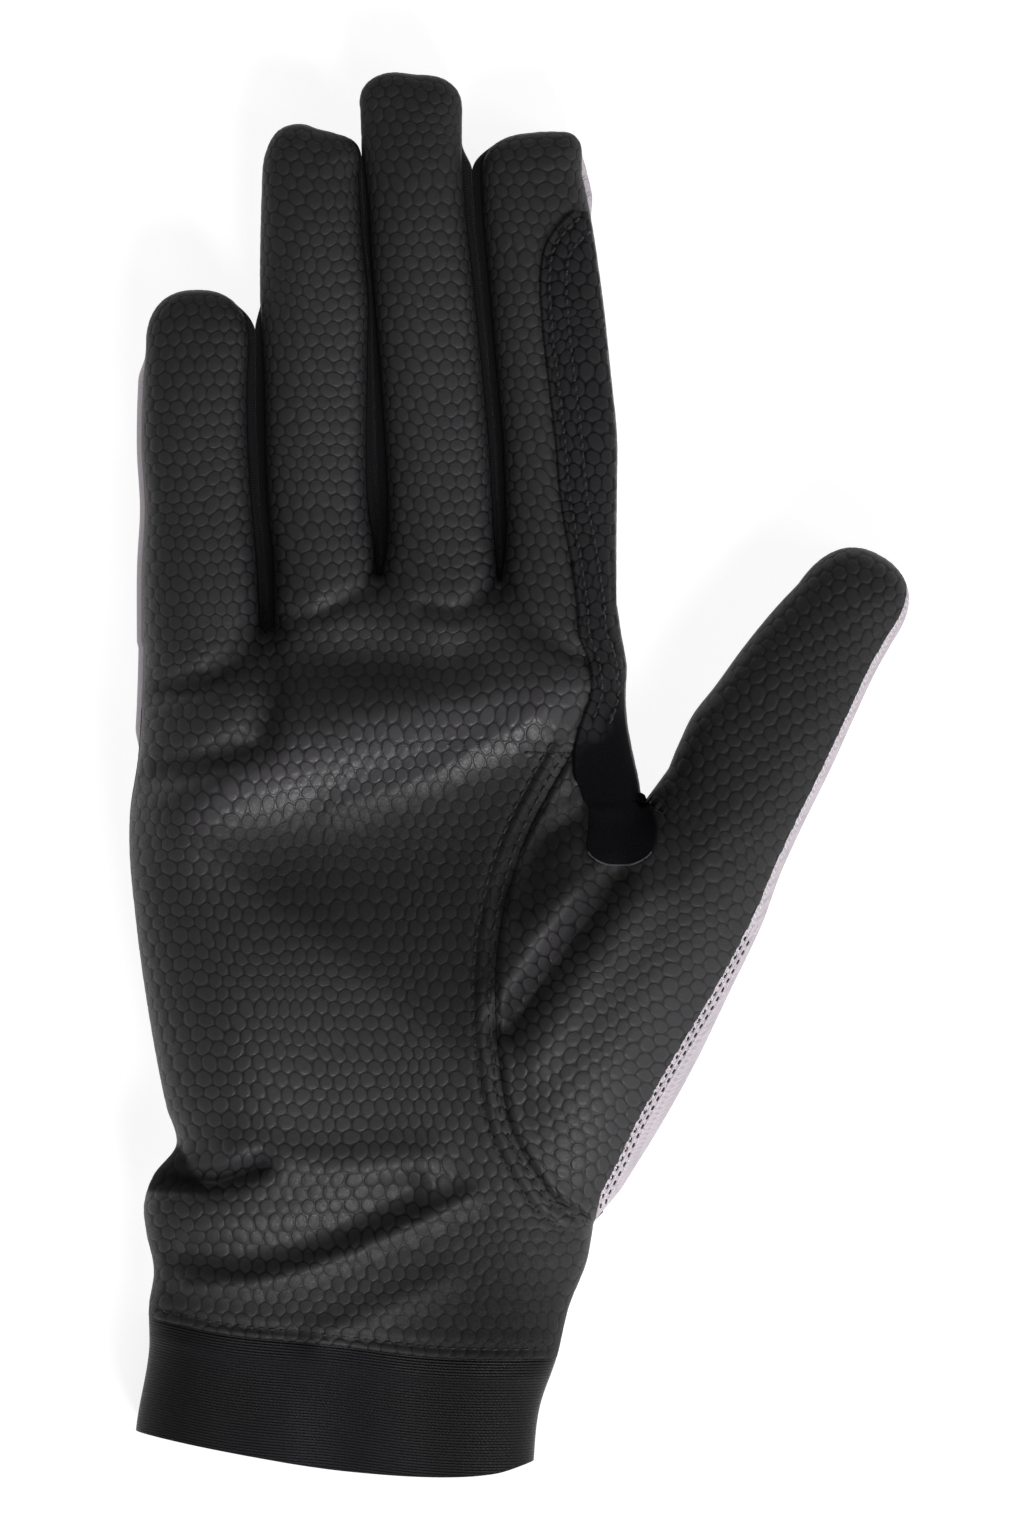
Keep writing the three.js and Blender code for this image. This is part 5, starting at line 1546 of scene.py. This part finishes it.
class GLOVE_OT_cuff(bpy.types.Operator):
    """Ribbed knit band, hollow and open at the mouth"""

    bl_idname = "glove.cuff"
    bl_label = "Cuff band"

    def execute(self, context):
        form = glove_form()
        shares = spread(150, 0.6)
        grid = form.cuff_grid(shares, 52)
        front = form.on_front(grid)
        back = form.on_back(grid)
        down = np.linspace(0, 1, grid.shape[0])[:, None]
        length = np.hypot(*(grid[-1] - grid[0]).T)[None, :]
        ripple = smooth_noise(np.stack((grid[..., 0].ravel(), grid[..., 1].ravel() * 0.5), 1), 9.0, 5)
        front[..., 2] += ripple.reshape(grid.shape[:2]) * 0.35 * np.sin(np.pi * shares)[None, :] ** 0.5
        front[..., 2] += 0.3 * np.exp(-((down * length - 3) / 1.2) ** 2)
        tucked = front[:1] + (0, 1.6, -1.0)
        front = np.concatenate((tucked, front - (0, 0, 0.35) * np.exp(-down[..., None] * 30)))
        sheet = Sheet()
        sheet.add(front, True)
        sheet.add(back, False)
        for column, flip in ((0, False), (-1, True)):
            sheet.add(wall_grid(grid[:, column], BACK_RISE, form.side_top), flip)
        points, faces = sheet.welded()
        normals = point_normals(points, faces)
        seam = form.cuff_seam(shares)
        below = np.interp(points[:, 0], seam[:, 0], seam[:, 1]) - points[:, 1]
        knit = np.stack((points[:, 0] + points[:, 2] * 0.4, below), 1)
        points, faces, source = turn_edges(points, faces, normals, WALLS["cuff"])
        # Painted light and shade on the cuff, with a little random unevenness of the knit
        masks = {"tone": painted_shading_at(points) + 0.12 * smooth_noise(points[:, :2], 12.0, 6)}
        piece = make_object("cuff_knit_band", points, faces, knit_material("Cuff knit"),
                            {"knit": knit[source]}, masks)
        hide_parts("cuff_band")
        return {"FINISHED"}


def stitch_path(path, spacing, late=0.0):
    """Evenly spaced places along a plan path, with the direction of travel"""
    runs = np.hypot(*np.diff(path, axis=0).T)
    walked = np.concatenate(([0], np.cumsum(runs)))
    count = max(2, int(walked[-1] / spacing))
    at = (np.arange(count) + 0.5 + late) * walked[-1] / count
    at = at[at < walked[-1]]

    def along_path(way):
        return np.stack((np.interp(way, walked, path[:, 0]), np.interp(way, walked, path[:, 1])), 1)

    places = along_path(at)
    return places, unit(along_path(at + 0.4) - along_path(at - 0.4))


def stitches(places, run, length, radius, lift, turn=0.0, extra=None):
    """Small rounded stitches that dip into the surface at both ends"""
    form = glove_form()
    sides = 8
    rings = np.linspace(-1, 1, 9)
    swell = np.sqrt(np.maximum(0.02, 1 - rings ** 4))
    around = np.linspace(0, 2 * np.pi, sides, endpoint=False)
    cos, sin = math.cos(turn), math.sin(turn)
    run = run @ np.array(((cos, sin), (-sin, cos)))
    cross = np.stack((-run[:, 1], run[:, 0]), 1)
    centre = places[:, None] + run[:, None] * (rings * length / 2)[None, :, None]
    heights = form.front_height(centre)
    if extra is not None:
        heights = heights + extra[:, None]
    heights = heights + lift - radius * 0.9 * rings[None, :] ** 4
    shape = (len(places), len(rings), sides)
    points = np.empty(shape + (3,))
    ring = radius * swell[None, :, None] * np.cos(around)[None, None, :] * np.ones(shape)
    points[..., :2] = centre[:, :, None] + cross[:, None, None] * ring[..., None]
    points[..., 2] = heights[:, :, None] + radius * swell[None, :, None] * np.sin(around)[None, None, :]
    index = np.arange(np.prod(shape)).reshape(shape)
    after = np.roll(index, -1, axis=2)
    quads = np.stack((index[:, :-1], after[:, :-1], after[:, 1:], index[:, 1:]), -1).reshape(-1, 4)
    caps = []
    for ring_index, order in ((0, slice(None, None, -1)), (-1, slice(None))):
        loop = index[:, ring_index, order]
        for k in range(1, sides - 1, 2):
            last = min(k + 2, sides - 1)
            caps.append(np.stack((loop[:, 0], loop[:, k], loop[:, k + 1], loop[:, last]), 1))
    return points.reshape(-1, 3), np.concatenate([quads] + caps)


def join_parts(parts):
    points = []
    faces = []
    start = 0
    for part_points, part_faces in parts:
        points.append(part_points)
        faces.append(part_faces + start)
        start += len(part_points)
    return np.concatenate(points), np.concatenate(faces)


class GLOVE_OT_stitches(bpy.types.Operator):
    """Seam threads: double rows on the reinforcement and the thumb seam, one row above the cuff"""

    bl_idname = "glove.stitches"
    bl_label = "Stitches"

    def execute(self, context):
        form = glove_form()
        sizes = context.scene.glove_sizes
        colours = context.scene.glove_colours
        black = thread_material("Black thread", colours.thread)
        spacing = sizes.stitch_length / MM
        seam = seam_path()[:-1]
        left = patch_rows(form)[0][:STITCHED]
        rows = [("thumb", offset_path(seam, inset)) for inset in THUMB_ROWS]
        rows += [("patch", offset_path(left, inset)) for inset in PATCH_ROWS]
        rows.append(("cuff", form.cuff_seam()[2:-2] + (0, CUFF_ROW)))
        parts = []
        for kind, path in rows:
            stitch = STITCHES[kind]
            places, run = stitch_path(path, spacing * stitch["spacing"])
            extra = None
            if kind == "patch":
                extra = np.interp(places[:, 1] / form.palm, PATCH_LIFT["along"], PATCH_LIFT["lift"])
            length = spacing * stitch["length"]
            parts.append(stitches(places, run, length, stitch["radius"], stitch["lift"], extra=extra))
        parts.append(self.strip_slots(form))
        points, faces = join_parts(parts)
        piece = make_object("black_stitches", points, faces, black)
        points, faces = self.overlock(form)
        pale = thread_material("Pale thread", [c * 1.15 for c in colours.fabric])
        piece = make_object("pale_overlock", points, faces, pale)
        self.seam_tape(form)
        return {"FINISHED"}

    def border(self, form):
        """Plan line where the leather of the thumb meets its pale strip"""
        return form.thumb_grid(None, FRONT_STEP, strip=np.zeros(1))[:, 0]

    def strip_slots(self, form):
        """Two staggered rows of dark slots along the strip's border"""
        line = self.border(form)[6:]
        parts = []
        for row in SLOT_ROWS:
            places, run = stitch_path(offset_path(line, row["inset"]), 1.75, late=row["late"])
            keep = places[:, 1] < 0.55 * form.palm
            parts.append(stitches(places[keep], run[keep], 1.0, 0.2, 0.06))
        return join_parts(parts)

    def overlock(self, form):
        """Pale threads: a chain along the border and short crossings over the leather's edge"""
        line = self.border(form)[9:-6]
        parts = []
        for inset in CHAIN_ROWS:
            places, run = stitch_path(offset_path(line, inset), 0.8)
            keep = (places[:, 1] < 0.56 * form.palm) | (inset > -0.1)
            parts.append(stitches(places[keep], run[keep], 0.95, 0.13, 0.08))
        places, run = stitch_path(offset_path(line, -0.3), 0.9)
        parts.append(stitches(places, run, 1.0, 0.1, 0.1, turn=0.9))
        return join_parts(parts)

    def seam_tape(self, form):
        """Dark tape under the thumb seam and the index side, so that no light comes through"""
        seam = seam_path()
        grid = np.stack([offset_path(seam, inset) for inset in np.linspace(-TAPE["half"], TAPE["half"], 7)])
        near = np.hypot(*(seam - seam[-1]).T)[None, :, None]
        grid = mix(seam[None], grid, 0.25 + 0.75 * smoothstep(near, 1.0, 8.0))
        surface = form.on_front(grid)
        surface[..., 2] -= TAPE["depth"]
        sheet = Sheet()
        sheet.add(surface)
        for index in (1, 2, 3):
            gap = form.stretches[f"gap{index}"]
            x, y = gap[np.argmin(gap[:, 1])]
            across, along = np.meshgrid(np.linspace(x - PLUG["half"], x + PLUG["half"], 5),
                                        np.linspace(y - PLUG["below"], y + PLUG["above"], 6))
            height = np.full(across.shape, form.side_top - PLUG["depth"])
            sheet.add(np.stack((across, along, height), -1))
        points, faces = sheet.welded()
        knit = points[:, :2]
        piece = make_object("seam_tape", points, faces, knit_material("Side fabric"), {"knit": knit})


# Stage: metres, and watts for the lights

FLOOR = {"left": -2, "right": 6, "half": 4, "height": -0.0002, "grey": 0.4, "glow": 0.8}
LIGHTS = (
    {"name": "key", "place": (0.3, -0.85, 0.6), "size": 0.35, "power": 7.0},
    {"name": "side", "place": (0.9, -0.2, 0.5), "size": 0.4, "power": 2.2},
    {"name": "overhead", "place": (0.0, 0.0, 1.8), "size": 1.2, "power": 3.0},
)
WORLD_LIGHT = 0.3
CAMERA = {"place": (-0.0012, -0.0003, 1.6), "sensor": 24, "level": 0.008, "view": 0.2575}


class GLOVE_OT_stage(bpy.types.Operator):
    """Pale floor, soft studio light and the camera straight above the glove"""

    bl_idname = "glove.stage"
    bl_label = "Stage"

    def execute(self, context):
        scene = context.scene
        self.add_floor(scene)
        world = bpy.data.worlds.new("Studio")
        world.use_nodes = True
        background = world.node_tree.nodes["Background"]
        background.inputs[0].default_value = (1, 1, 1, 1)
        background.inputs[1].default_value = WORLD_LIGHT
        scene.world = world
        for light in LIGHTS:
            self.add_light(scene, light)
        data = bpy.data.cameras.new("camera")
        data.sensor_fit = "VERTICAL"
        data.sensor_height = CAMERA["sensor"]
        data.lens = CAMERA["sensor"] * (CAMERA["place"][2] - CAMERA["level"]) / CAMERA["view"]
        data.clip_end = 10
        camera = bpy.data.objects.new("camera", data)
        camera.location = CAMERA["place"]
        scene.collection.objects.link(camera)
        scene.camera = camera
        scene.view_settings.view_transform = "Standard"
        return {"FINISHED"}

    def add_floor(self, scene):
        """Pale floor a hair under the glove, see-through from below"""
        left, right, half, low = FLOOR["left"], FLOOR["right"], FLOOR["half"], FLOOR["height"]
        corners = [(left, -half, low), (right, -half, low), (right, half, low), (left, half, low)]
        mesh = bpy.data.meshes.new("floor")
        mesh.from_pydata(corners, [], [(0, 1, 2, 3)])
        floor = bpy.data.objects.new("floor", mesh)
        scene.collection.objects.link(floor)
        material, tree, shader = new_material("Pale floor", Roughness=0.9, Specular_IOR_Level=0.1)
        feed(tree, shader, {"Base Color": tint((FLOOR["grey"],) * 3), "Emission Color": (1, 1, 1, 1),
                            "Emission Strength": FLOOR["glow"]})
        below = add_node(tree, "ShaderNodeNewGeometry", (-400, 300)).outputs["Backfacing"]
        clear = add_node(tree, "ShaderNodeBsdfTransparent", (-400, 100))
        blend = add_node(tree, "ShaderNodeMixShader", (100, 200),
                         {0: below, 1: shader.outputs[0], 2: clear.outputs[0]})
        feed(tree, tree.nodes["Material Output"], {"Surface": blend.outputs[0]})
        mesh.materials.append(material)

    def add_light(self, scene, light):
        """Square soft light aimed at the middle of the glove's footprint"""
        data = bpy.data.lights.new(light["name"], "AREA")
        data.size = light["size"]
        data.energy = light["power"]
        lamp = bpy.data.objects.new(light["name"], data)
        lamp.location = light["place"]
        lamp.rotation_euler = (-Vector(light["place"])).to_track_quat("-Z", "Y").to_euler()
        scene.collection.objects.link(lamp)


class GLOVE_PT_panel(bpy.types.Panel):
    """Lists the steps that build the glove"""

    bl_idname = "GLOVE_PT_panel"
    bl_label = "Riding glove"
    bl_space_type = "VIEW_3D"
    bl_region_type = "UI"
    bl_category = "Glove"

    def draw(self, context):
        for step in STEPS:
            self.layout.operator(step.bl_idname)
        for group in (context.scene.glove_sizes, context.scene.glove_colours):
            box = self.layout.box()
            for name in settings_of(group):
                box.prop(group, name)


STEPS = (
    GLOVE_OT_stage,
    GLOVE_OT_palm,
    GLOVE_OT_thumb,
    GLOVE_OT_back,
    GLOVE_OT_patch,
    GLOVE_OT_sides,
    GLOVE_OT_cuff,
    GLOVE_OT_stitches,
)
CLASSES = (GloveSizes, GloveColours) + STEPS + (GLOVE_PT_panel,)


def register():
    for cls in CLASSES:
        bpy.utils.register_class(cls)
    bpy.types.Scene.glove_sizes = bpy.props.PointerProperty(type=GloveSizes)
    bpy.types.Scene.glove_colours = bpy.props.PointerProperty(type=GloveColours)


def unregister():
    del bpy.types.Scene.glove_colours
    del bpy.types.Scene.glove_sizes
    for cls in reversed(CLASSES):
        bpy.utils.unregister_class(cls)


def main():
    register()
    bpy.ops.glove.stage()
    bpy.ops.glove.palm()
    bpy.ops.glove.thumb()
    bpy.ops.glove.back()
    bpy.ops.glove.patch()
    bpy.ops.glove.sides()
    bpy.ops.glove.cuff()
    bpy.ops.glove.stitches()


if __name__ == "__main__":
    main()
